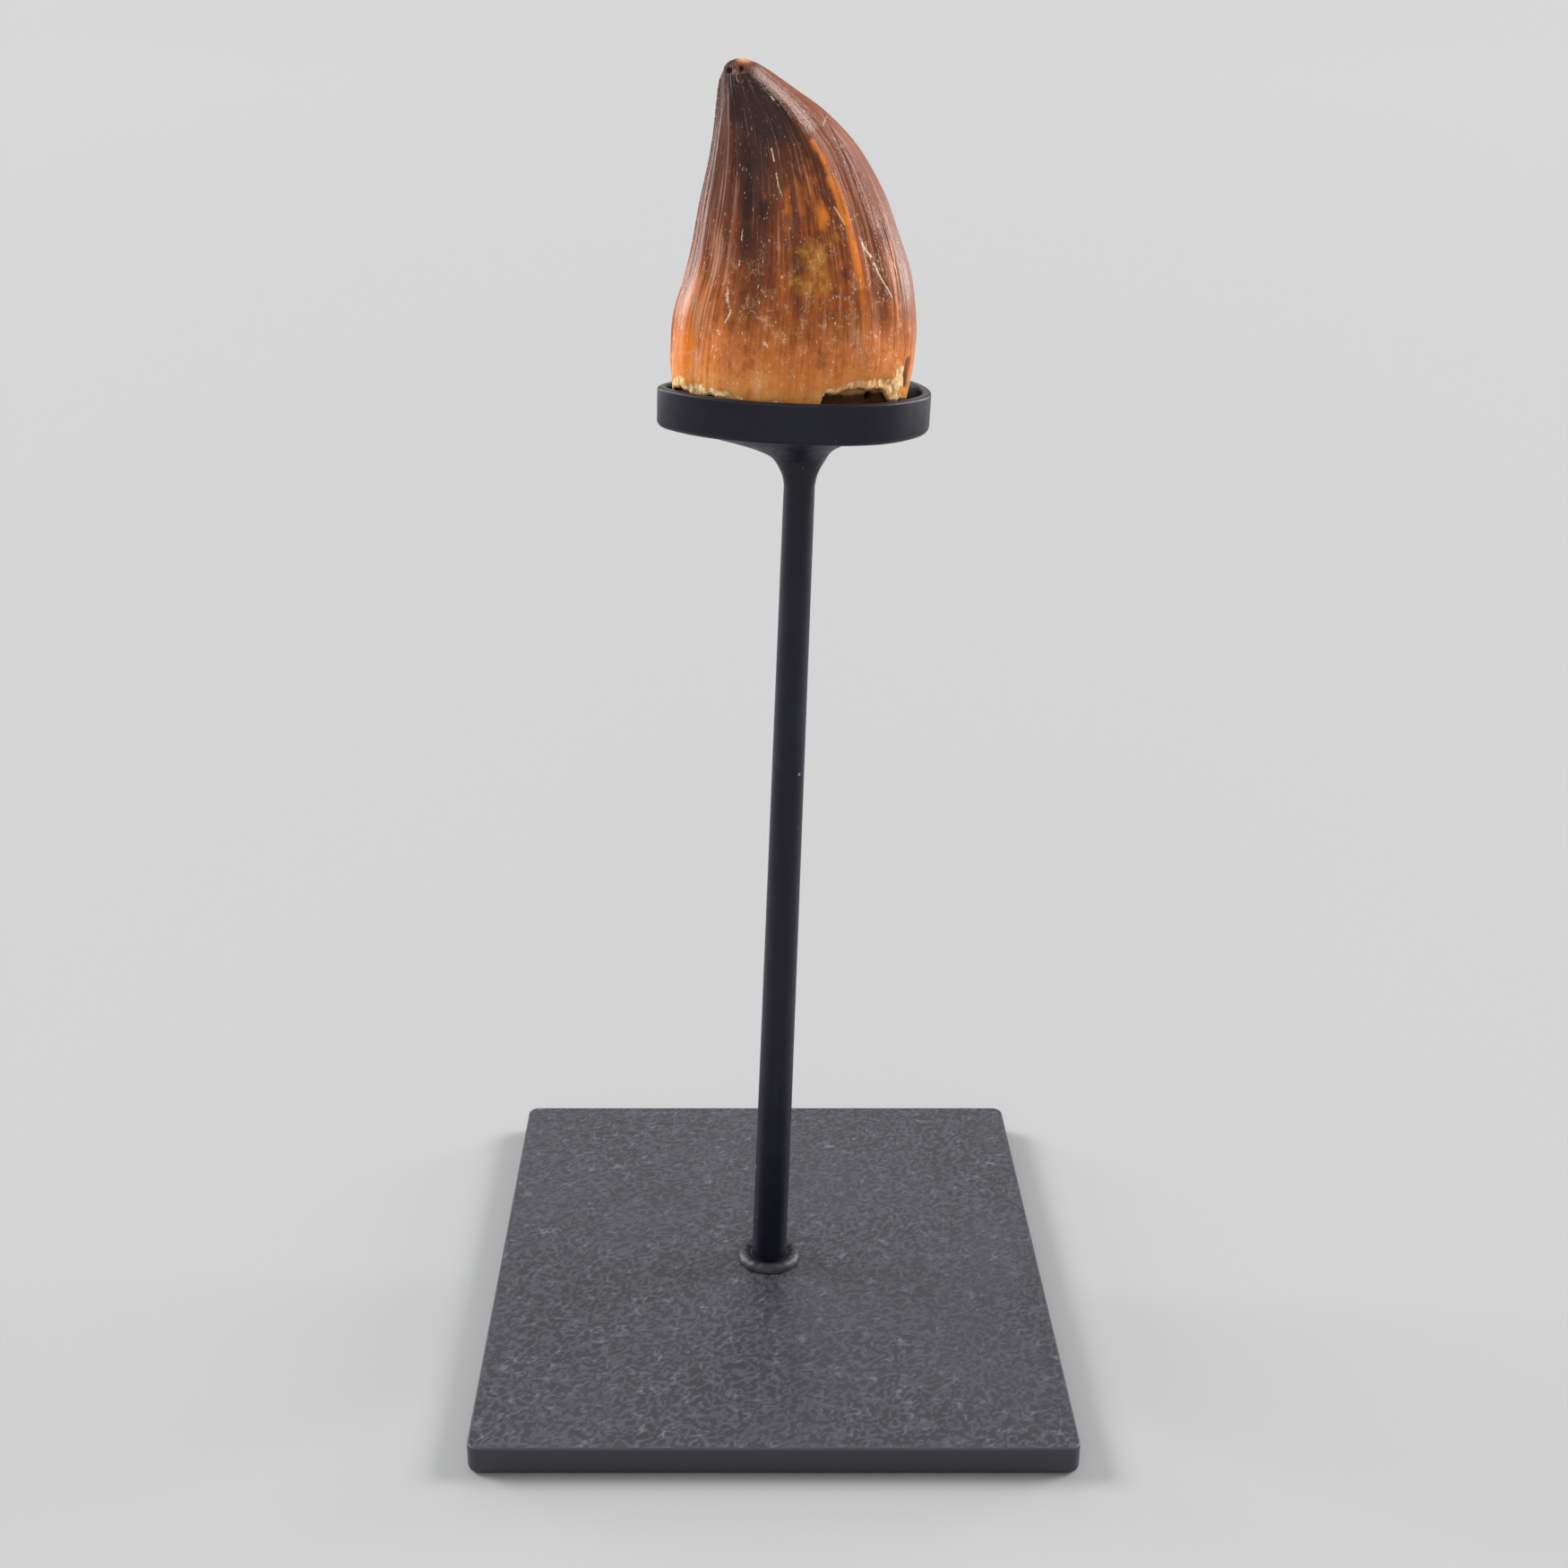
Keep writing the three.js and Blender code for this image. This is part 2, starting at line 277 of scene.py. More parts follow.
def runTree(tree, holder, values):
    # Runs the tree once on the holder's mesh and keeps the result as a plain mesh
    modifier = holder.modifiers.new(tree.name, "NODES")
    modifier.node_group = tree
    for item in tree.interface.items_tree:
        if item.item_type == "SOCKET" and item.in_out == "INPUT" and item.name in values:
            modifier[item.identifier] = values[item.name]
    evaluated = holder.evaluated_get(bpy.context.evaluated_depsgraph_get())
    mesh = bpy.data.meshes.new_from_object(evaluated)
    holder.modifiers.remove(modifier)
    holder.data = mesh
    return holder


def lineHolder(name, points=(), closed=False):
    # A piece with nothing but a line through the points, for a tree to work on
    mesh = bpy.data.meshes.new(name)
    edges = [(i, i + 1) for i in range(len(points) - 1)]
    if closed:
        edges.append((len(points) - 1, 0))
    mesh.from_pydata([tuple(point) for point in points], edges, [])
    return linkPiece(name, mesh)


# Paint on the post, the neck weld and the tray: smooth satin black with a violet cast and a little dust
standPaintLook = {
    "color": (0.0042, 0.004, 0.0115),
    "faded": (0.0095, 0.009, 0.02),
    "cloudsPerMetre": 75,
    "cloudRange": (0.42, 0.72),
    "roughness": 0.4,
    "fadedRoughness": 0.08,
    "reflection": 0.3,
    "dustColor": (0.33, 0.32, 0.35),
    "dustCellsPerMetre": 430,
    "dustRarity": (0.9, 0.93),
    "dustSize": (0.16, 0.06),
    "dustStrength": 0.75,
    "dustRoughness": 0.4,
    "grainsPerMetre": 900,
    "peelPerMetre": 700,
    "peelDepth": 0.00003,
}


def makeStandPaint():
    look = standPaintLook
    material, tree, surface = newMaterial("standPaint")
    place = objectPlace(tree)
    fading = mapRange(tree, noiseShare(tree, place, look["cloudsPerMetre"], 5, 0.6), *look["cloudRange"])
    color = mixColors(tree, fading, look["color"], look["faded"])
    cells = addNode(tree, "ShaderNodeTexVoronoi", {"Vector": place, "Scale": look["dustCellsPerMetre"]})
    chance = addNode(tree, "ShaderNodeSeparateColor", {"Color": cells.outputs["Color"]}).outputs["Red"]
    rare = mapRange(tree, chance, *look["dustRarity"])
    speck = mapRange(tree, cells.outputs["Distance"], *look["dustSize"])
    dust = calculate(tree, "MULTIPLY", calculate(tree, "MULTIPLY", rare, speck), look["dustStrength"])
    color = mixColors(tree, dust, color, look["dustColor"])
    tree.links.new(color, surface.inputs["Base Color"])
    fine = noiseShare(tree, place, look["grainsPerMetre"], 3)
    rough = mapRange(tree, fine, 0.3, 0.7, look["roughness"] - 0.05, look["roughness"] + 0.07, False)
    rough = calculate(tree, "MULTIPLY_ADD", fading, look["fadedRoughness"], rough)
    rough = calculate(tree, "MULTIPLY_ADD", dust, look["dustRoughness"], rough)
    tree.links.new(rough, surface.inputs["Roughness"])
    surface.inputs["Specular IOR Level"].default_value = look["reflection"]
    peel = noiseShare(tree, place, look["peelPerMetre"], 2)
    tree.links.new(bumpFrom(tree, peel, look["peelDepth"], 0.6), surface.inputs["Normal"])
    return material


# Paint on the plate and the foot weld: dark grey-violet, with painted shade in the hollows of its leathery
# wrinkle and a painted highlight on its ridges
platePaintLook = {
    # The darkest and the palest colour are painted shade in the wrinkle's hollows and a painted highlight
    # on its ridges; the middle one is the paint's own grey
    "valleyShade": (0.0115, 0.0107, 0.0148),
    "middle": (0.036, 0.0345, 0.0438),
    "ridge": (0.106, 0.103, 0.122),
    "cloudsPerMetre": 38,
    "cloudStrength": 0.4,
    "roughness": 0.46,
    "reflection": 0.42,
    "grainsPerMetre": 2600,
    "grainShare": 0.75,
    "grainDepth": 0.00005,
}


def makePlatePaint():
    look = platePaintLook
    material, tree, surface = newMaterial("platePaint")
    place = objectPlace(tree)
    wrinkle = attributeOutput(tree, "wrinkle", "Fac")
    grain = noiseShare(tree, place, look["grainsPerMetre"], 3, 0.6)
    cloud = noiseShare(tree, place, look["cloudsPerMetre"], 4)
    height = calculate(tree, "SUBTRACT", grain, 0.5)
    height = calculate(tree, "MULTIPLY_ADD", height, look["grainShare"], wrinkle)
    # Painted shade where the wrinkle is low and a painted highlight where it is high
    color = mixColors(tree, mapRange(tree, height, 0.02, 0.3), look["valleyShade"], look["middle"])
    color = mixColors(tree, mapRange(tree, height, 0.5, 1.05), color, look["ridge"])
    clouds = mapRange(tree, cloud, 0.35, 0.75, 0.0, look["cloudStrength"])
    color = mixColors(tree, clouds, color, look["middle"])
    tree.links.new(color, surface.inputs["Base Color"])
    rough = mapRange(tree, grain, 0.3, 0.7, look["roughness"] - 0.08, look["roughness"] + 0.12, False)
    tree.links.new(rough, surface.inputs["Roughness"])
    surface.inputs["Specular IOR Level"].default_value = look["reflection"]
    tree.links.new(bumpFrom(tree, height, look["grainDepth"], 0.8), surface.inputs["Normal"])
    return material


standPaint = makeStandPaint()
platePaint = makePlatePaint()
print("paints made")

# Plate: a flat square whose top carries the fine leathery wrinkle of its paint
plate = {
    "corner": 2.0, "topRound": 0.4, "bottomRound": 1.1,   # mm
    "cells": 270,            # squares along one side of the top
    "wrinkleLength": 1.15,   # mm from ridge to ridge
    "wrinkleDepth": 0.075,   # mm
    "ridgeWidth": 0.14,      # as a share of the noise's height
    "plainBorder": 0.8,      # mm over which the wrinkle fades out at the edge
    "roundSteps": 6,
    "sharpEdge": 60,         # degrees
    "seed": 4,
}


def plateBorder(top):
    # The places round the top's border, counter-clockwise: the nearest core point and the way out
    last = plate["cells"]
    border = [(i, 0) for i in range(last)] + [(last, i) for i in range(last)]
    border += [(last - i, last) for i in range(last)] + [(0, last - i) for i in range(last)]
    reach = stand["plateSide"] / 2 - plate["corner"]
    points = np.array([top[column, row, :2] for column, row in border])
    core = np.clip(points, -reach, reach)
    out = points - core
    out /= np.linalg.norm(out, axis=1)[:, None]
    return border, core, out


def roundCorners(x, y, reach):
    # Bends the square corners of the grid into quarter circles
    overX = np.abs(x) - reach
    overY = np.abs(y) - reach
    inCorner = (overX > 0) & (overY > 0)
    size = np.maximum(overX, overY)
    wide = np.maximum(size, 1e-9)
    turn = np.where(overX >= overY, overY / wide, 2 - overX / wide) * math.pi / 4
    bentX = np.where(inCorner, reach + size * np.cos(turn), np.abs(x)) * np.sign(x)
    bentY = np.where(inCorner, reach + size * np.sin(turn), np.abs(y)) * np.sign(y)
    return bentX, bentY


def wrinkles(x, y):
    # 1 on the winding ridges, 0 in the hollows between them
    flat = np.stack([x, y, np.zeros_like(x)], axis=-1).reshape(-1, 3) / plate["wrinkleLength"]
    bendX = noiseOver(flat, 0.8, plate["seed"])
    bendY = noiseOver(flat, 0.8, plate["seed"] + 1)
    bent = flat + np.stack([bendX, bendY, np.zeros_like(bendX)], axis=-1) * 0.7
    ridge = np.exp(-((noiseOver(bent, 1.0, plate["seed"] + 2) / plate["ridgeWidth"]) ** 2))
    lumps = noiseOver(flat, 0.45, plate["seed"] + 3)
    return np.clip(ridge * (0.75 + 0.5 * lumps), 0, 1).reshape(x.shape)


def plateTop():
    half = stand["plateSide"] / 2 - plate["topRound"]
    steps = np.linspace(-half, half, plate["cells"] + 1)
    x, y = np.meshgrid(steps, steps, indexing="ij")
    x, y = roundCorners(x, y, stand["plateSide"] / 2 - plate["corner"])
    fine = wrinkles(x, y)
    inside = smoothStep(0, plate["plainBorder"], half - np.maximum(np.abs(x), np.abs(y)))
    z = stand["plateThickness"] - plate["wrinkleDepth"] * (1 - fine) * inside
    return np.stack([x, y, z], axis=-1), fine


def makePlate():
    top, fine = plateTop()
    count = plate["cells"] + 1
    index = np.arange(count * count).reshape(count, count)
    corners = (index[:-1, :-1], index[1:, :-1], index[1:, 1:], index[:-1, 1:])
    faces = [tuple(quad) for quad in np.stack(corners, axis=-1).reshape(-1, 4)]
    border, core, out = plateBorder(top)
    ringSize = len(border)
    layers = [(inset, stand["plateThickness"] - drop)
              for inset, drop in quarterRound(plate["topRound"], plate["roundSteps"])[1:]]
    layers += [(inset, height) for height, inset in quarterRound(plate["bottomRound"], plate["roundSteps"])]
    vertices = [top.reshape(-1, 3)]
    upper = np.array([index[column, row] for column, row in border])
    start = count * count
    for inset, height in layers:
        places = core + out * (plate["corner"] - inset)
        vertices.append(np.column_stack([places, np.full(ringSize, height)]))
        lower = np.arange(start, start + ringSize)
        band = np.stack([lower, np.roll(lower, -1), np.roll(upper, -1), upper], axis=-1)
        faces += [tuple(quad) for quad in band]
        upper = lower
        start += ringSize
    faces.append(tuple(upper[::-1]))
    mesh = bpy.data.meshes.new("plate")
    mesh.from_pydata([tuple(point) for point in np.vstack(vertices)], [], faces)
    mesh.transform(Matrix.Scale(mm, 4))
    mesh.shade_smooth()
    mesh.set_sharp_from_angle(angle=math.radians(plate["sharpEdge"]))
    mesh.materials.append(platePaint)
    addFloats(mesh, "wrinkle", np.concatenate([fine.ravel(), np.full(ringSize * len(layers), 0.5)]))
    standsFor(linkPiece("plate", mesh), "plate_paint", "base_plate")


makePlate()
print("plate made")

# Post: a round bar that tapers evenly, made along a line
postShape = {"sides": 64, "steps": 60}


def makePost():
    tree, given = newTree("postBar", {
        "Length": ("NodeSocketFloat", 0.15),
        "Foot radius": ("NodeSocketFloat", 0.003),
        "Top radius": ("NodeSocketFloat", 0.0025),
        "Sides": ("NodeSocketInt", 32),
        "Steps": ("NodeSocketInt", 20),
    })
    end = addNode(tree, "ShaderNodeCombineXYZ", {"Z": given["Length"]})
    line = addNode(tree, "GeometryNodeCurvePrimitiveLine", {"End": end.outputs["Vector"]})
    fineLine = addNode(tree, "GeometryNodeResampleCurve", {
        "Curve": line.outputs["Curve"], "Count": given["Steps"]})
    along = addNode(tree, "GeometryNodeSplineParameter")
    taper = addNode(tree, "ShaderNodeMapRange", {
        "Value": along.outputs["Factor"], "To Min": given["Foot radius"], "To Max": given["Top radius"]})
    profile = addNode(tree, "GeometryNodeCurvePrimitiveCircle", {
        "Resolution": given["Sides"], "Radius": 1.0})
    bar = addNode(tree, "GeometryNodeCurveToMesh", {
        "Curve": fineLine.outputs["Curve"], "Profile Curve": profile.outputs["Curve"],
        "Scale": taper.outputs["Result"], "Fill Caps": True})
    smooth = addNode(tree, "GeometryNodeSetShadeSmooth", {"Geometry": bar.outputs["Mesh"]})
    endTree(tree, smooth.outputs["Geometry"], standPaint)
    piece = runTree(tree, lineHolder("post"), {
        "Length": stand["postLength"] * mm,
        "Foot radius": stand["postFootRadius"] * mm,
        "Top radius": stand["postTopRadius"] * mm,
        "Sides": postShape["sides"],
        "Steps": postShape["steps"],
    })
    piece.data.transform(leaning)
    standsFor(piece, "stand_paint", "post")


makePost()
print("post made")


# Foot weld: a low bead round the post with the slight waves of a hand-run weld
footWeld = {
    # how far out and how high, from the foot over the crest to the post, in mm
    "profile": (
        (5.7, 0.0), (5.62, 0.35), (5.35, 0.8), (4.95, 1.12),
        (4.5, 1.27), (4.0, 1.1), (3.55, 0.8), (3.2, 0.75),
    ),
    "wavyReach": 2.2,   # mm inwards from the foot
    "wave": 0.08,       # mm
    "waves": 17,
    "sides": 120,
    "steps": 22,
}


def makeFootWeld():
    turns = np.linspace(0, 2 * math.pi, footWeld["sides"], endpoint=False)
    outer = footWeld["profile"][0][0]
    inner = footWeld["profile"][-1][0]
    unevenness = 1 + 0.35 * np.sin(turns * 3 + 1)
    ripple = footWeld["wave"] * np.sin(turns * footWeld["waves"] + np.sin(turns * 2) * 1.5) * unevenness
    scallop = 0.25 * footWeld["wave"] * (1 + np.sin(turns * footWeld["waves"]))
    rings = []

    def addRing(reach, height):
        level = stand["plateThickness"] + height
        rings.append(np.stack([reach * np.cos(turns), reach * np.sin(turns), level], axis=-1))

    for radius, height in splineThrough(footWeld["profile"], np.linspace(0, 1, footWeld["steps"])):
        share = math.sin(math.pi * min(1.0, (outer - radius) / footWeld["wavyReach"]))
        addRing(radius - scallop * (1 - share), np.maximum(height + ripple * share * 0.6, 0.0))
    addRing(inner, np.zeros_like(turns))
    piece = meshFromRings("footWeld", np.array(rings), False, platePaint, closedLoop=True)
    standsFor(piece, "plate_paint", "foot_weld")


makeFootWeld()
print("foot weld made")


# Neck weld: flares from the post to the tray's underside and runs far out to the left
neck = {
    # along the post, how far left, how far right, how far to front and back, in mm
    "stations": (
        (147.9, -2.56, 2.56, 2.56), (148.4, -2.62, 2.62, 2.62), (149.1, -2.8, 2.75, 2.72),
        (149.9, -3.1, 3.0, 2.9), (151.2, -3.9, 3.6, 3.4), (152.2, -4.8, 4.2, 3.9),
        (152.9, -6.1, 4.6, 4.5), (153.6, -7.9, 5.2, 5.2), (154.3, -10.3, 6.2, 6.1),
        (155.1, -13.6, 7.7, 7.2), (155.8, -15.9, 9.4, 8.2), (156.4, -17.2, 10.6, 8.8),
        (156.7, -17.6, 10.9, 9.0),
    ),
    "sides": 96,
    "steps": 70,
    "lump": 0.09,          # mm
    "lumpsPerMm": 0.55,
    "lumpsFrom": (148.3, 151),
    "lumpsTo": (155.5, 156.4),
    "seed": 3,
}


def makeNeck():
    turns = np.linspace(0, 2 * math.pi, neck["sides"], endpoint=False)
    rings = []
    for along, left, right, reach in splineThrough(neck["stations"], np.linspace(0, 1, neck["steps"])):
        side = np.where(np.cos(turns) < 0, -left, right)
        ring = np.stack([side * np.cos(turns), reach * np.sin(turns), np.full_like(turns, along)], axis=-1)
        share = smoothStep(*neck["lumpsFrom"], along) * (1 - smoothStep(*neck["lumpsTo"], along))
        lumps = noiseOver(ring, neck["lumpsPerMm"], neck["seed"]) * neck["lump"] * share
        ring[:, 0] += np.cos(turns) * lumps
        ring[:, 1] += np.sin(turns) * lumps
        rings.append(ring)
    piece = meshFromRings("neckWeld", np.array(rings), True, standPaint)
    standsFor(piece, "stand_paint", "neck_weld")


makeNeck()
print("neck weld made")


# Tray: one even wall round an egg-shaped floor
tray = {
    "outline": (
        (-22.8, -2), (-21.2, -4.7), (-18, -7.7), (-13.6, -10.4), (-8.4, -12.4), (-2.6, -13.3),
        (3.4, -13.3), (8.8, -12.4), (13.4, -10.4), (17, -7.1), (19.4, -3.5), (20.2, 0.4),
        (19.6, 5), (17.6, 9.6), (13.6, 13), (8, 14.8), (1.6, 15), (-5, 13.9),
        (-11.2, 11.4), (-16.4, 7.9), (-20.4, 3.6), (-22.4, 0.4),
    ),
    "wall": 1.5, "floor": 2.0, "rimRound": 0.45, "lowerRound": 1.3, "floorRound": 0.8,   # mm
    "points": 220,
    "sharpEdge": 50,   # degrees
}


def traySection():
    # The wall's section as pairs of inset and height, from the underside over the rim to the floor
    low = stand["trayUnderside"]
    rim = stand["trayRim"]
    wall = tray["wall"]
    floor = low + tray["floor"]
    section = [(inset, low + rise) for inset, rise in quarterRound(tray["lowerRound"], 8)]
    section += [(inset, rim - drop) for drop, inset in quarterRound(tray["rimRound"], 6)]
    section += [(wall - inset, rim - drop) for inset, drop in quarterRound(tray["rimRound"], 6)]
    section += [(wall + inset, floor + rise) for rise, inset in quarterRound(tray["floorRound"], 5)]
    return section


def makeTray():
    outline = splineThrough(tray["outline"], np.arange(tray["points"]) / tray["points"], closed=True)
    along = np.roll(outline, -1, 0) - np.roll(outline, 1, 0)
    along /= np.linalg.norm(along, axis=1)[:, None]
    inward = np.stack([-along[:, 1], along[:, 0]], axis=-1)
    rings = [np.column_stack([outline + inward * inset, np.full(len(outline), height)])
             for inset, height in traySection()]
    piece = meshFromRings("tray", np.array(rings), True, standPaint)
    piece.data.set_sharp_from_angle(angle=math.radians(tray["sharpEdge"]))
    standsFor(piece, "stand_paint", "tray")


makeTray()
print("tray made")

# Tooth: heights above the tray's rim and everything else in mm, turns in degrees with -90 at the front
tooth = {
    # height, left, right, front, back
    "stations": (
        (0, -20.6, 16.5, -10.8, 12), (5, -20.8, 17.2, -11, 12.1), (11.5, -20.2, 17.1, -10.4, 11.7),
        (18, -18.4, 15.9, -9.3, 10.8), (24.3, -17.2, 13.7, -7.8, 9.5), (30.7, -16.1, 10.8, -6.1, 8),
        (36.7, -15.1, 6.9, -4.3, 6.5), (41.6, -14.5, 1.7, -2.6, 5.2), (44.9, -14.2, -3.2, -1.3, 4.3),
        (46.9, -13.8, -6.3, -0.3, 3.6), (47.7, -13.55, -7.7, 0.2, 3.1),
        (48.3, -12.95, -9, 0.7, 2.6), (48.65, -12.1, -10.1, 1.2, 2.1),
    ),
    "tipHeight": 48.8,
    # the long facets' edges: turn at the rim, turn per mm of height, rise as a share of the radius, spread
    "facetEdges": (
        (-55, -0.32, 0.035, 8), (-94, -0.12, 0.014, 8), (-124, 0, 0.018, 7), (-152, 0, 0.018, 6),
        (58, 0.1, 0.022, 8), (96, 0, 0.018, 8), (134, 0, 0.02, 8),
    ),
    "carinaPinch": 0.3,
    "baseSkew": 1.2,
    # the broken edge: its level, jags as size, waves and start, and chips as turn, rise and spread
    "edgeLevel": -1.1,
    "edgeJags": ((0.22, 11, 0.8), (0.16, 19, 2.1), (0.1, 43, 0)),
    "leftChips": ((-160, 1.2, 21), (-126, 0.6, 16)),
    "edgeFade": 7,
    "edgeRound": 0.12,
    # the hollow at the front right: a sharp left side and a soft right one
    "hollowLeft": (-78, -74),
    "hollowRight": (-44, -32),
    "hollowRise": 2.2,
    "hollowExtraRise": 0.6,
    "hollowExtraTurns": (-74, -46),
    "rootUndercut": 0.7,
    "hollowUndercut": 0.9,
    "rootRound": 0.7,
    "rootRoundHeight": 0.9,
    "rootAboveFloor": 0.05,
    "frontColumns": 312,
    "backColumns": 112,
    "crownRows": 188,
    "rootRows": 22,
}


def bump(turns, middle, spread):
    away = (turns - middle + 180) % 360 - 180
    return np.exp(-((away / spread) ** 2))


def hollowShare(turns):
    return smoothStep(*tooth["hollowLeft"], turns) * (1 - smoothStep(*tooth["hollowRight"], turns))


def brokenEdge(turns):
    # The height of the broken edge all round the tooth
    radians = np.radians(turns)
    jags = sum(size * np.sin(waves * radians + start) for size, waves, start in tooth["edgeJags"])
    chips = sum(rise * bump(turns, turn, spread) for turn, rise, spread in tooth["leftChips"])
    climb = tooth["hollowRise"] + tooth["hollowExtraRise"] * smoothStep(*tooth["hollowExtraTurns"], turns)
    return tooth["edgeLevel"] + jags + chips + climb * hollowShare(turns)


def facetRelief(turns, height):
    level = max(height, 0)
    return sum(rise * bump(turns, foot + lean * level, spread)
               for foot, lean, rise, spread in tooth["facetEdges"])


def crownSkin(section, turns, inset):
    height, left, right, front, back = section
    radians = np.radians(turns)
    relief = 1 + facetRelief(turns, height)
    halfWidth = (right - left) / 2
    halfDepth = (back - front) / 2
    squeeze = 1 - tooth["carinaPinch"] * ((1 - np.cos(radians)) / 2) ** 4
    x = (left + right) / 2 + (halfWidth * relief - inset) * np.cos(radians)
    skew = tooth["baseSkew"] * np.cos(radians) * halfWidth / 19
    y = (front + back) / 2 + skew + (halfDepth * relief * squeeze - inset) * np.sin(radians)
    return np.stack([x, y, np.full_like(x, height)], axis=-1)


def evenProgress(rows):
    # Spaces the crown's rows evenly along its right-hand profile
    progress = np.linspace(0, 1, 400)
    profile = splineThrough(tooth["stations"], progress)[:, [0, 2]]
    steps = np.linalg.norm(np.diff(profile, axis=0), axis=1)
    travelled = np.concatenate([[0], np.cumsum(steps)])
    return np.interp(np.linspace(0, travelled[-1], rows), travelled, progress)


def toothRings():
    # The root from its foot up, the broken edge, the crown and the rounded tip
    frontTurns = np.linspace(-180, 0, tooth["frontColumns"], endpoint=False)
    backTurns = np.linspace(0, 180, tooth["backColumns"], endpoint=False)
    turns = np.concatenate([frontTurns, backTurns])
    none = np.zeros_like(turns)
    edge = brokenEdge(turns)
    edgeRound = tooth["edgeRound"]
    under = tooth["rootUndercut"] + tooth["hollowUndercut"] * hollowShare(turns)
    foot = np.array(tooth["stations"][0], dtype=float)
    rootFoot = stand["trayUnderside"] + tray["floor"] + tooth["rootAboveFloor"] - stand["trayRim"]
    rootTop = rootFoot + tooth["rootRoundHeight"]
    rings = []

    def addRing(section, inset, height):
        ring = crownSkin(section, turns, inset)
        ring[:, 2] = height
        rings.append(ring)

    for share in (0.0, 0.3, 0.65, 1.0):
        inset = under + tooth["rootRound"] * (1 - share) ** 2
        addRing(foot, inset, rootFoot + tooth["rootRoundHeight"] * share)
    for share in np.linspace(0.12, 1, tooth["rootRows"]):
        addRing(foot, under, rootTop + (edge - 0.15 - rootTop) * share)
    for share in (0.25, 0.55, 0.85):
        addRing(foot, under + (0.3 - under) * share, edge - 0.15 + edgeRound * share)
    addRing(foot, none + edgeRound, edge + 0.05)
    rootRows = len(rings)
    for progress in evenProgress(tooth["crownRows"])[1:]:
        section = splineThrough(tooth["stations"], np.array([progress]))[0]
        fade = max(0.0, 1 - section[0] / tooth["edgeFade"])
        addRing(section, none, section[0] + edge * fade + edgeRound * fade)
    last = np.array(tooth["stations"][-1], dtype=float)
    middleX = (last[1] + last[2]) / 2
    middleY = (last[3] + last[4]) / 2
    middle = np.array([0, middleX, middleX, middleY, middleY])
    for share in (0.7, 0.35):
        height = tooth["tipHeight"] - (tooth["tipHeight"] - last[0]) * share ** 2
        addRing(middle + (last - middle) * share, none, height)
    return turns, np.array(rings), rootRows


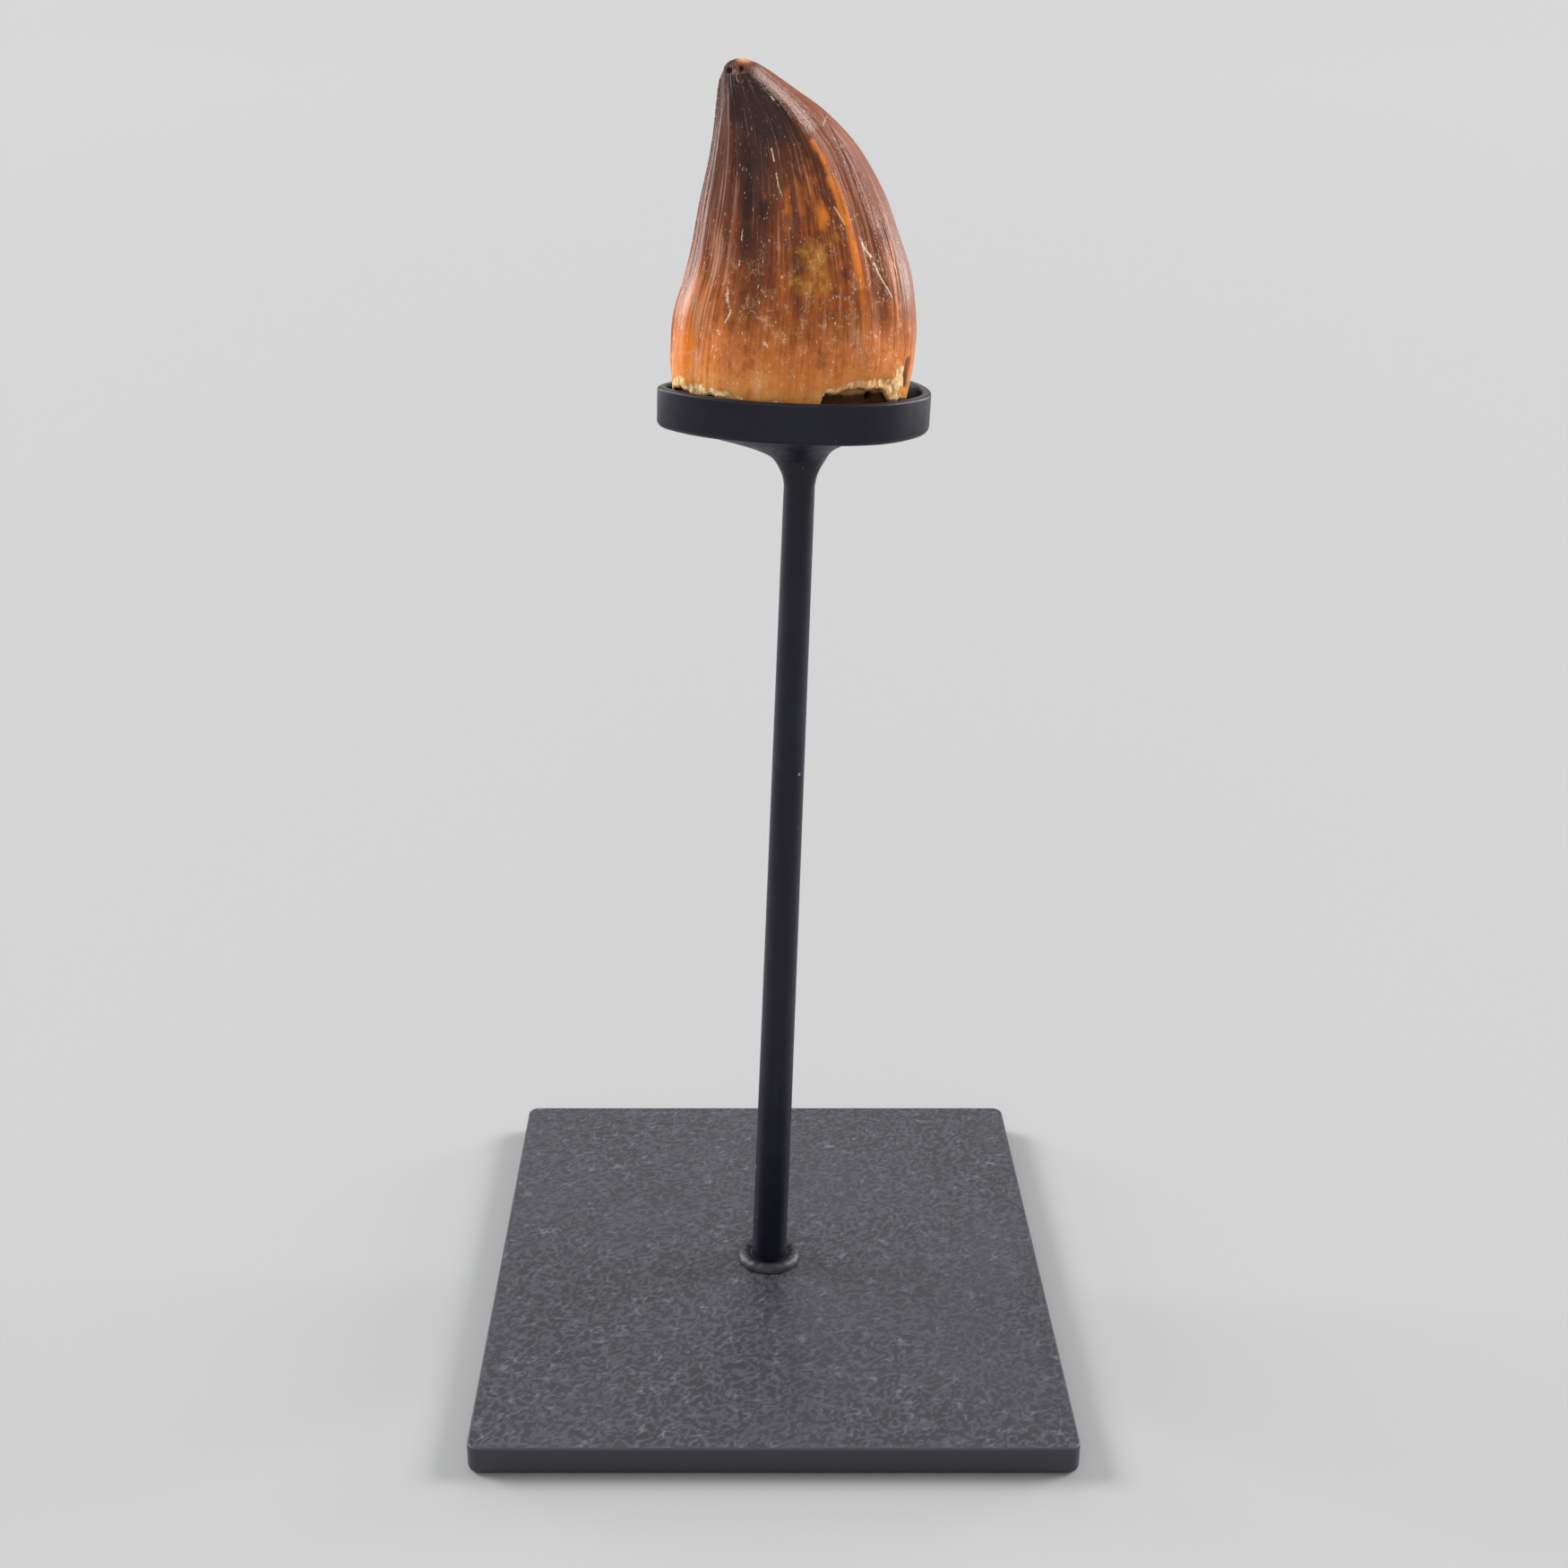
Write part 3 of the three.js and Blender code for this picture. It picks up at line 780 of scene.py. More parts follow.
# What shows on the front of the crown, as places to the right and above the rim in mm
marks = {
    # the long edge that parts the front from the right flank
    "flankEdge": (
        (-8.7, 47), (-6.6, 44.9), (-3.9, 42.1), (-0.9, 38.4), (1.3, 34.8), (3.0, 31.6), (4.5, 28.7),
        (5.7, 25.3), (6.8, 20.9), (8.0, 16.9), (8.9, 13), (9.5, 9), (10, 0),
    ),
    # right-hand limit of the strip beside the left edge
    "leftStrip": (
        (-13.0, 47.4), (-12.7, 43), (-12.6, 38), (-12.5, 33), (-12.8, 28), (-13.3, 22), (-14, 16),
        (-15, 0),
    ),
    # right-hand limit of the dark front, below the crack
    "darkSide": (
        (-5.9, 36.3), (-5.7, 33), (-5.2, 30), (-5.2, 26), (-5.6, 21), (-6, 14),
    ),
    # scratches: path, half width, strength
    "scratches": (
        (((-6.3, 36.4), (-5.8, 34.6)), 0.14, 1.0),
        (((-5.5, 33.0), (-5.1, 31.2), (-4.4, 29.5)), 0.12, 0.95),
        (((-8.4, 32.6), (-7.2, 29.8)), 0.09, 0.5), (((-1.1, 32.8), (1.3, 30.8), (3.3, 28.4)), 0.09, 0.6),
        (((3.3, 28.4), (4.1, 27.3), (5.0, 26.0)), 0.14, 1.0), (((1.3, 39.8), (1.9, 40.8)), 0.2, 0.8),
        (((3.0, 38.1), (3.7, 37.2), (4.5, 35.9)), 0.17, 0.6),
        (((7.7, 23.4), (8.2, 22.4), (9.2, 21.2)), 0.2, 0.95), (((8.3, 23.3), (8.6, 21.6)), 0.13, 0.7),
        (((7.9, 22.1), (9.3, 22.3)), 0.11, 0.6), (((9.6, 20.4), (10.1, 19.6), (10.9, 18.0)), 0.2, 0.9),
        (((10.9, 18.0), (12.0, 16.4), (12.8, 15.1)), 0.13, 1.0),
        (((12.6, 20.3), (13.6, 18.8)), 0.11, 0.75), (((13.7, 20.2), (12.5, 19.0)), 0.1, 0.65),
        (((12.4, 19.6), (14.0, 19.5)), 0.09, 0.6), (((-10.4, 23.3), (-10.3, 24.7)), 0.12, 0.8),
        (((-10.6, 20.3), (-10.6, 19.6)), 0.13, 0.8),
        (((-13.9, 25.0), (-13.3, 23.6), (-13.4, 21.5)), 0.11, 0.5),
        (((-12.2, 16.0), (-12.2, 14.5), (-11.7, 12.8), (-12.5, 11.2)), 0.2, 0.75),
        (((-12.6, 15.4), (-12.4, 13.9)), 0.16, 0.6), (((-6.7, 8.7), (-6.0, 8.0)), 0.24, 0.9),
        (((-6.9, 8.0), (-6.2, 8.6)), 0.14, 0.6), (((6.1, 7.5), (6.9, 8.4), (7.4, 9.2)), 0.11, 0.6),
        (((7.4, 9.2), (8.6, 9.9), (9.5, 10.0)), 0.1, 0.6), (((8.3, 8.9), (9.2, 8.0)), 0.2, 0.5),
        (((2.8, 21.4), (3.6, 22.4), (4.4, 22.9)), 0.12, 0.6), (((3.4, 21.3), (3.6, 22.9)), 0.1, 0.5),
        (((-1.9, 10.4), (-1.4, 9.6)), 0.14, 0.5), (((-6.5, 43.6), (-6.1, 43.1)), 0.16, 0.9),
        (((-5.5, 42.6), (-5.1, 42.1)), 0.12, 0.6),
        (((-11.6, 46.9), (-11.8, 46.2), (-11.4, 45.5)), 0.1, 0.7),
        (((-11.4, 45.5), (-10.9, 45.4), (-10.6, 46.1)), 0.1, 0.6),
        (((-3.5, 42.0), (-1.9, 39.9)), 0.1, 0.6), (((-2.6, 40.8), (-0.9, 38.6)), 0.09, 0.5),
        (((-0.5, 38.0), (1.3, 34.6), (2.4, 32.4)), 0.09, 0.5),
        (((2.2, 33.9), (3.1, 31.9), (3.9, 30.4)), 0.12, 0.7), (((1.6, 33.6), (2.6, 31.6)), 0.09, 0.5),
        (((-1.6, 37.3), (-0.2, 34.6)), 0.08, 0.4), (((5.9, 12.9), (6.0, 11.6)), 0.1, 0.4),
        (((-5.9, 36.0), (-4.3, 36.6), (-2.2, 37.2), (-0.6, 38.1)), 0.09, 0.5),
        (((6.4, 33.0), (7.6, 30.2)), 0.09, 0.45), (((7.9, 29.5), (8.9, 27.1)), 0.1, 0.5),
        (((9.6, 27.4), (10.4, 24.8)), 0.1, 0.4),
    ),
    # pale cap at the tip: to the right, height, reach sideways, reach up and down, strength
    "cap": ((-10.4, 48.9, 1.8, 0.85, 1.0), (-12.0, 47.0, 0.4, 0.4, 0.6)),
    # scuffed streaks: path, half width, strength
    "scuffs": (
        (((-8.4, 46.9), (-6.6, 45.2), (-4.4, 43.6), (-2.0, 41.4), (-0.6, 39.6)), 1.5, 1.0),
        (((2.0, 38.0), (5.6, 34.0), (8.6, 29.0), (11.0, 23.0)), 1.6, 0.55),
        (((-12.7, 46.6), (-11.4, 46.6), (-10.0, 47.0), (-8.6, 47.0)), 0.22, 0.7),
    ),
    # cracks: path, half width, depth
    "cracks": (
        (((-6.1, 35.6), (-5.7, 35.8), (-4.3, 36.3), (-2.2, 36.9), (-0.6, 37.8)), 0.13, 0.06),
        (((1.2, 42.0), (2.0, 40.2), (3.0, 38.4), (4.2, 36.2), (5.4, 33.9), (6.6, 31.0)), 0.12, 0.09),
        (((15.9, 5.4), (15.75, 4.2), (15.7, 2.8), (15.8, 1.0)), 0.3, 0.3),
        (((1.9, 34.2), (3.0, 32.2), (4.1, 29.6), (4.9, 27.4)), 0.16, 0.07),
    ),
    # broad soft grooves up the front: path, half width, depth
    "grooves": (
        (((-12.4, 31), (-12.6, 24), (-13.2, 17), (-14.2, 9)), 1.0, 0.28),
        (((-9.4, 26), (-9.8, 18), (-10.2, 9)), 0.7, 0.16),
        (((-5.0, 24), (-5.4, 16), (-5.6, 9)), 0.9, 0.15), (((4.2, 22), (5.4, 16), (6.0, 9)), 0.9, 0.22),
        (((9.4, 24), (10.6, 17), (11.6, 9)), 0.9, 0.2),
    ),
    # the round hole low in the hollow: to the right, height, radius, depth
    "hole": (9.9, 0.15, 0.72, 1.5),
    # small round pits: to the right, height, radius, depth
    "pits": (
        (-12.85, 47.0, 0.36, 0.5), (-11.05, 47.35, 0.36, 0.5), (4.3, 36.2, 0.3, 0.12),
        (6.2, 24.0, 0.22, 0.06),
    ),
    # soft patches: to the right, height, reach sideways, reach up and down, strength
    "shade": (
        (-10.4, 46.0, 2.2, 5.0, 1.0), (-9.0, 41.0, 3.2, 5.0, 1.0), (-7.0, 38.9, 4.4, 3.0, 0.95),
        (-9.2, 35.0, 3.4, 6.0, 0.9), (-9.4, 29.5, 3.0, 6.0, 0.82), (-9.2, 23.0, 3.2, 6.0, 0.72),
        (-7.4, 27.6, 1.5, 2.8, 0.8), (-0.6, 34.2, 1.8, 2.2, 0.5), (2.0, 29.6, 1.6, 2.2, 0.45),
        (-8.6, 17.0, 3.4, 5.0, 0.5), (-4.2, 21.0, 1.2, 6.0, 0.45), (0.6, 31.0, 1.2, 2.4, 0.35),
    ),
    "glow": (
        (-1.6, 31.0, 3.0, 5.0, 0.24), (-3.7, 28.4, 1.0, 5.2, 0.38), (-0.6, 25.6, 3.0, 3.4, 0.26),
        (2.2, 27.0, 2.6, 2.2, 0.4), (1.0, 15.0, 5.0, 5.0, 0.35), (13.5, 5.0, 3.6, 4.0, 0.5),
        (-17.6, 6.0, 3.6, 6.0, 0.6), (-15.6, 15.0, 1.9, 6.0, 0.35), (0.0, 2.4, 8.0, 2.4, 0.45),
        (8.4, 3.4, 5.0, 2.0, 0.45),
    ),
    "pale": (
        (-14.2, 21.5, 1.6, 6.0, 0.6), (-16.8, 13.0, 2.4, 5.0, 0.75), (-17.8, 5.0, 2.2, 3.5, 0.7),
        (7.6, 9.5, 2.6, 3.0, 0.55), (8.0, 3.3, 4.0, 1.8, 0.4), (-13.6, 30.0, 0.8, 5.0, 0.35),
    ),
    # bright orange band along the long edge, partly the tooth's own orange and partly a painted highlight
    # on the ridge: path, half width, strength
    "band": (
        (((-0.2, 37.6), (1.3, 35.4), (2.7, 32.5)), 0.55, 0.7),
        (((2.7, 32.5), (4.1, 29.4), (5.2, 26.2)), 0.75, 1.0),
        (((5.2, 26.2), (6.7, 21.6), (8.0, 17.0)), 0.8, 0.7),
        (((8.0, 17.0), (8.8, 12.4), (9.2, 8.0)), 1.0, 0.45),
        (((11.4, 27.5), (12.4, 22.5), (13.2, 17.0)), 0.4, 0.35),
    ),
    # places with many pale specks
    "specks": (
        (-6.4, 8.4, 1.1, 1.1, 0.75), (7.4, 9.0, 2.0, 1.5, 0.65), (9.4, 8.0, 1.0, 1.0, 0.65),
        (-1.6, 10.0, 1.6, 1.4, 0.5), (3.6, 22.2, 1.1, 0.9, 0.6), (-12.2, 14.0, 0.5, 2.4, 0.7),
        (-6.0, 13.0, 3.0, 3.0, 0.42), (2.0, 6.6, 3.4, 2.2, 0.42), (0.6, 19.4, 2.4, 2.4, 0.4),
        (-10.4, 22.0, 0.8, 3.6, 0.5), (13.2, 19.5, 1.0, 1.2, 0.6), (10.4, 26.0, 1.6, 3.4, 0.5),
        (-15.6, 8.0, 2.6, 3.0, 0.42), (5.0, 12.5, 2.0, 3.0, 0.42), (-8.0, 4.0, 4.0, 1.6, 0.4),
    ),
    "honey": (
        (0.3, 21.4, 2.6, 2.4, 1.0), (1.4, 18.2, 2.5, 2.6, 1.0), (-1.4, 17.2, 2.5, 1.7, 0.9),
        (3.0, 23.5, 2.0, 1.5, 0.7),
    ),
    "blotch": (
        (5.2, 18.8, 1.2, 1.6, 0.9), (3.9, 16.0, 1.7, 1.3, 0.7), (4.8, 21.0, 1.2, 1.0, 0.5),
        (-3.3, 20.5, 0.9, 3.6, 0.6), (-5.9, 18.0, 1.0, 4.4, 0.55), (10.8, 24.0, 1.5, 4.0, 0.6),
        (12.0, 16.2, 1.5, 2.6, 0.55), (0.8, 24.2, 2.4, 1.2, 0.6), (-0.2, 13.0, 2.0, 1.6, 0.4),
        (4.3, 9.4, 1.3, 1.6, 0.4), (-9.8, 14.0, 0.8, 3.0, 0.4), (9.8, 12.6, 0.9, 3.0, 0.5),
        (-3.0, 31.4, 0.5, 1.6, 0.5), (0.5, 9.4, 2.2, 1.8, 0.5), (-8.5, 12.9, 1.3, 3.0, 0.5),
        (-5.0, 12.1, 1.2, 2.6, 0.45), (3.4, 12.9, 2.0, 1.5, 0.55), (11.8, 12.1, 1.6, 2.6, 0.4),
        (-7.0, 6.2, 2.0, 1.2, 0.32), (4.6, 5.2, 2.4, 1.1, 0.3), (-12.6, 8.6, 1.4, 2.2, 0.35),
    ),
    "cream": (
        (15.0, 2.6, 0.7, 2.2, 1.0), (14.0, 1.5, 1.2, 1.5, 1.0), (12.4, 1.9, 1.6, 1.1, 0.9),
        (14.5, 4.2, 0.5, 1.3, 0.8), (9.6, 2.6, 2.4, 0.6, 0.75), (-18.9, 1.6, 1.0, 1.2, 0.8),
        (-16.6, 1.2, 1.6, 0.5, 0.7),
    ),
}


def strokeMask(u, h, path, width):
    mask = np.zeros_like(u)
    for (startU, startH), (endU, endH) in zip(path, path[1:]):
        alongU = endU - startU
        alongH = endH - startH
        length = alongU ** 2 + alongH ** 2
        share = np.clip(((u - startU) * alongU + (h - startH) * alongH) / length, 0, 1)
        gap = (u - startU - share * alongU) ** 2 + (h - startH - share * alongH) ** 2
        mask = np.maximum(mask, np.exp(-gap / width ** 2))
    return mask


def strokesMask(u, h, strokes):
    mask = np.zeros_like(u)
    for path, width, strength in strokes:
        mask = np.maximum(mask, strength * strokeMask(u, h, path, width))
    return mask


def patchMask(u, h, patches):
    mask = np.zeros_like(u)
    for middleU, middleH, reachU, reachH, strength in patches:
        gap = ((u - middleU) / reachU) ** 2 + ((h - middleH) / reachH) ** 2
        mask = np.maximum(mask, strength * np.exp(-gap))
    return mask


def pitMask(u, h):
    # How dark each point is made by the pits, and how deep they are there
    mask = np.zeros_like(u)
    depths = np.zeros_like(u)
    for middleU, middleH, radius, depth in marks["pits"]:
        gap = ((u - middleU) ** 2 + (h - middleH) ** 2) / radius ** 2
        mask = np.maximum(mask, np.exp(-gap ** 2) * min(1, depth * 4))
        depths = np.maximum(depths, depth * np.exp(-gap ** 2))
    return mask, depths


def holeMask(u, h):
    middleU, middleH, radius, depth = marks["hole"]
    gap = np.hypot(u - middleU, h - middleH)
    return 1 - smoothStep(radius * 0.75, radius, gap)


def lineAt(path, h):
    points = np.array(path)[::-1]
    return np.interp(h, points[:, 1], points[:, 0])


def skinNoise(skin, around, up, seed):
    # Noise over the skin, finer round the tooth or up it
    flat = skin.reshape(-1, 3) * (around, around, up)
    return noiseOver(flat, 1.0, seed).reshape(skin.shape[:2])


# How the dark tip and the painted mauve sheen of the side lights spread over the crown, heights and places
# in mm
tones = {
    # what there is at each height: blur of the flank's edge in mm, painted sheen on the flank and on the
    # strip
    "flankBlur": ((10, 3.2), (24, 1.6), (34, 0.4)),
    "flankSheen": ((8, 0.0), (16, 0.1), (24, 0.3), (32, 0.6), (38, 0.95), (48, 1.0)),
    "stripSheen": ((14, 0.0), (22, 0.4), (30, 0.8), (38, 0.9), (48, 0.9)),
    # over how many mm each border fades
    "flankFade": (-0.3, 0.8),
    "stripFade": (-0.3, 0.6),
    "darkFade": (-0.4, 0.5),
    "crackFade": (-0.1, 0.25),
    "crackLine": (-3, 36.9, 0.36),   # to the right, height, climb for each mm to the right
    "shoulder": (46.6, 47.8),
    "shoulderSheen": 0.6,
    "tipFrom": (36.5, 42),
    "tipShare": 0.9,
    "belowCrack": 0.35,
    "lighter": 0.75,                 # on the strip and the shoulder
}


def atHeight(name, h):
    heights, values = zip(*tones[name])
    return np.interp(h, heights, values)


def tipTones(u, h, streaks):
    # The shares of the dark tip and of the painted mauve sheen on the right flank and beside the left edge
    flankGap = u - lineAt(marks["flankEdge"], h)
    stripGap = lineAt(marks["leftStrip"], h) - u
    darkGap = lineAt(marks["darkSide"], h) - u
    blur = atHeight("flankBlur", h)
    inner, outer = tones["flankFade"]
    flank = smoothStep(inner - blur, outer + blur, flankGap + streaks * (outer + blur))
    strip = smoothStep(*tones["stripFade"], stripGap + streaks * 0.5)
    crackU, crackH, climb = tones["crackLine"]
    aboveCrack = smoothStep(*tones["crackFade"], h - crackH - climb * (u - crackU))
    inDark = np.maximum(aboveCrack, smoothStep(*tones["darkFade"], darkGap + streaks * 0.6))
    shoulder = smoothStep(*tones["shoulder"], h)
    high = smoothStep(*tones["tipFrom"], h) * tones["tipShare"]
    tipShade = np.maximum(patchMask(u, h, marks["shade"]), high)
    tipShade = tipShade * np.maximum(inDark, tones["belowCrack"]) * (1 - flank)
    tipShade = tipShade * (1 - tones["lighter"] * strip) * (1 - tones["lighter"] * shoulder)
    tipShade = np.clip(tipShade * (1 + streaks * 0.6), 0, 1)
    # Painted sheen: the glossy reflection of the side lights on the right flank, beside the left edge and
    # on the shoulder below the tip
    mauveSheen = np.maximum(flank * atHeight("flankSheen", h), strip * atHeight("stripSheen", h))
    return tipShade, np.maximum(mauveSheen, tones["shoulderSheen"] * shoulder)


# The pale chipped band above the broken edge: its reach in mm, and more of it at some turns
creamBand = {
    "reach": 0.6,
    "raggedness": 0.4,
    "blur": 0.8,
    "overChips": ((1.3, -160, 28), (0.7, -126, 22)),   # mm, turn, spread
    "overHollow": 0.9,
    "hollowFrom": (-80, -66),
    "hollowTo": (-30, -10),
    "inRoot": 0.2,
}


def creamShare(u, h, turns, ragged, front):
    band = creamBand
    chips = sum(extra * bump(turns, turn, spread) for extra, turn, spread in band["overChips"])
    hollow = smoothStep(*band["hollowFrom"], turns) * (1 - smoothStep(*band["hollowTo"], turns))
    reach = band["reach"] + chips + band["overHollow"] * hollow
    above = h - brokenEdge(turns)
    cream = smoothStep(0, 1, (reach + band["raggedness"] * ragged - above) / band["blur"])
    return np.maximum(cream, patchMask(u, h, marks["cream"]) * front)


def paintTooth(rings, turns, rootRows):
    # Works out how much of each finish every point of the tooth has
    u = rings[:, :, 0]
    h = rings[:, :, 2]
    radians = np.radians(np.broadcast_to(turns, u.shape))
    front = smoothStep(0.0, 0.25, -np.sin(radians))
    skin = np.stack([np.cos(radians), np.sin(radians), h / 19], axis=-1)
    streaks = skinNoise(skin, 9, 0.7, 1)
    ragged = skinNoise(skin, 6, 6, 2)
    grains = skinNoise(skin, 22, 22, 3)
    tipShade, mauveSheen = tipTones(u, h, streaks)
    scuff = np.maximum(strokesMask(u, h, marks["scuffs"]), 0.85 * patchMask(u, h, marks["specks"])) * front
    stroke = strokesMask(u, h, marks["scratches"]) * front
    glow = np.clip(patchMask(u, h, marks["glow"]) * (0.9 + streaks * 0.6), 0, 1) * (0.45 + 0.55 * front)
    # The band along the long edge: the tooth's orange with a painted highlight on the ridge
    glow = np.maximum(glow, strokesMask(u, h, marks["band"]) * front)
    honey = patchMask(u, h, marks["honey"]) * front
    blotch = patchMask(u, h, marks["blotch"]) * front
    cap = patchMask(u, h, marks["cap"])
    pale = patchMask(u, h, marks["pale"]) * front
    cream = creamShare(u, h, turns, ragged, front)
    root = np.zeros_like(u)
    root[:rootRows - 1] = 1
    cream[:rootRows - 1] *= creamBand["inRoot"]
    dark = [(path, width * 1.1, min(0.8, depth * 6)) for path, width, depth in marks["cracks"]]
    crack = np.maximum(np.maximum(strokesMask(u, h, dark), pitMask(u, h)[0]), holeMask(u, h)) * front
    return {
        "skin": skin,
        "tone": np.stack([tipShade, mauveSheen, scuff], axis=-1),
        "warmth": np.stack([glow, honey, blotch], axis=-1),
        "damage": np.stack([cream, root, crack], axis=-1),
        "wear": np.stack([stroke, cap, pale], axis=-1),
    }, (streaks, ragged, grains, front)


# Relief of the skin in mm
toothRelief = {
    # depth, how fine it is round the tooth and up it, seed
    "dents": (0.17, 2.2, 3.0, 6),
    "folds": (0.24, 4.6, 0.8, 7),
    "striae": (0.07, 17, 1.0, 4),
    "fineStriae": (0.04, 38, 2.4, 5),
    "grains": 0.014,
    "scratches": 0.06,
    "chips": 0.22,
    "root": (0.18, 0.1),   # ragged lumps and grains on the root
    "rootSunk": 0.1,
    "leftEdge": 0.24,
    "leftEdgeSpread": 2.2,   # degrees
    # between which heights each fades in and out
    "lowFade": (-1, 6),
    "foldsEnd": (36, 45),
    "leftEdgeFrom": (1.5, 5),
    "leftEdgeTo": (45.5, 47.5),
    "edgesFrom": (4, 16),
    "edgesTo": (43, 47),
    # a rise and a groove along each edge: size, place beyond the edge, width
    "flankEdge": ((0.12, 0.2, 0.9), (-0.22, -1.7, 1.1)),
    "stripEdge": ((0.1, -0.2, 0.5), (-0.12, 1.1, 0.9)),
}


def between(start, end, h):
    # 1 between two heights, fading at both
    return smoothStep(*toothRelief[start], h) * (1 - smoothStep(*toothRelief[end], h))


def noiseRelief(skin, name):
    depth, around, up, seed = toothRelief[name]
    return depth * skinNoise(skin, around, up, seed)


def edgeRelief(u, h, front, streaks):
    def along(name, gap):
        return sum(size * np.exp(-((gap - place) / width) ** 2)
                   for size, place, width in toothRelief[name])

    flank = along("flankEdge", u - lineAt(marks["flankEdge"], h))
    strip = along("stripEdge", lineAt(marks["leftStrip"], h) - u)
    return between("edgesFrom", "edgesTo", h) * front * (flank * (1 + streaks) + strip)


def shapeTooth(rings, turns, rootRows, paint, noises):
    # Raises and sinks the skin: facets, striae, dents, scratches, cracks, pits and the left edge
    streaks, ragged, grains, front = noises
    u = rings[:, :, 0]
    h = rings[:, :, 2]
    skin = paint["skin"]
    relief = noiseRelief(skin, "dents") * smoothStep(*toothRelief["lowFade"], h)
    relief += noiseRelief(skin, "folds") * between("lowFade", "foldsEnd", h)
    relief += noiseRelief(skin, "striae") + noiseRelief(skin, "fineStriae")
    relief += toothRelief["grains"] * grains
    for path, width, depth in marks["grooves"] + marks["cracks"]:
        relief -= depth * strokeMask(u, h, path, width) * front
    relief += edgeRelief(u, h, front, streaks)
    relief -= toothRelief["scratches"] * paint["wear"][:, :, 0]
    relief -= pitMask(u, h)[1] * front
    carina = bump(turns, 180, toothRelief["leftEdgeSpread"]) * between("leftEdgeFrom", "leftEdgeTo", h)
    relief += toothRelief["leftEdge"] * carina
    chips = smoothStep(0.0, 0.35, ragged + grains * 0.7) * paint["damage"][:, :, 0]
    relief -= toothRelief["chips"] * chips
    lumps, fine = toothRelief["root"]
    root = slice(rootRows - 1)
    relief[root] = lumps * ragged[root] + fine * grains[root] - toothRelief["rootSunk"]
    relief -= marks["hole"][3] * holeMask(u, h) * front
    halfWidth = (u.max(1) - u.min(1)) / 2
    halfDepth = (rings[:, :, 1].max(1) - rings[:, :, 1].min(1)) / 2
    radians = np.radians(turns)[None, :]
    outU = np.cos(radians) / halfWidth[:, None]
    outV = np.sin(radians) / halfDepth[:, None]
    size = np.sqrt(outU ** 2 + outV ** 2)
    calm = np.clip(halfWidth / 2.2, 0, 1)[:, None]
    rings[:, :, 0] += relief * outU / size * calm
    rings[:, :, 1] += relief * outV / size * calm


toothLook = {
    # colour from the base up to the tip
    "heights": (
        (0.0, (0.92, 0.38, 0.092)), (0.06, (0.8, 0.27, 0.055)), (0.13, (0.63, 0.175, 0.036)),
        (0.24, (0.48, 0.127, 0.0255)), (0.45, (0.29, 0.058, 0.011)), (0.62, (0.17, 0.035, 0.0095)),
        (0.8, (0.07, 0.017, 0.0078)), (1.0, (0.04, 0.013, 0.009)),
    ),
    "darkStreak": (0.075, 0.018, 0.008),
    "paleStreak": (0.74, 0.36, 0.16),
    "tipShade": (0.026, 0.0085, 0.0072),
    # Painted sheen: the rosy reflection of the side lights on the flank, greyer beside the left edge
    "mauveSheen": (0.34, 0.09, 0.036),
    "mauveSheenLeft": (0.135, 0.058, 0.046),
    "pale": (0.68, 0.32, 0.18),
    "mottleDark": (0.2, 0.045, 0.01),
    "mottlePale": (0.78, 0.36, 0.11),
    "foldDark": (0.13, 0.027, 0.0065),
    "scuff": (0.6, 0.43, 0.38),
    "fleck": (0.92, 0.74, 0.52),
    "glow": (0.86, 0.23, 0.022),
    "honey": (0.66, 0.29, 0.04),
    "honeyDark": (0.32, 0.1, 0.014),
    "blotch": (0.085, 0.02, 0.007),
    "cream": (1.0, 0.77, 0.45),
    "creamShade": (0.8, 0.38, 0.11),
    "rootPale": (0.72, 0.36, 0.12),
    # Painted shadow on the root stub below the rim, under the broken edge
    "rootSlotShadow": (0.03, 0.011, 0.006),
    "crack": (0.03, 0.01, 0.006),
    "cap": (0.82, 0.38, 0.17),
    "roughness": 0.34,
    "reflection": 0.2,
    "coat": 0.05,
    "coatRoughness": 0.2,
    "striaeDepth": 0.00016,
    "grainDepth": 0.00006,
    # specks: cells round the tooth, cells up it, share of the cells, size
    "specks": ((44, 26, 0.27, 0.18), (64, 15, 0.25, 0.17), (30, 12, 0.06, 0.14)),
}


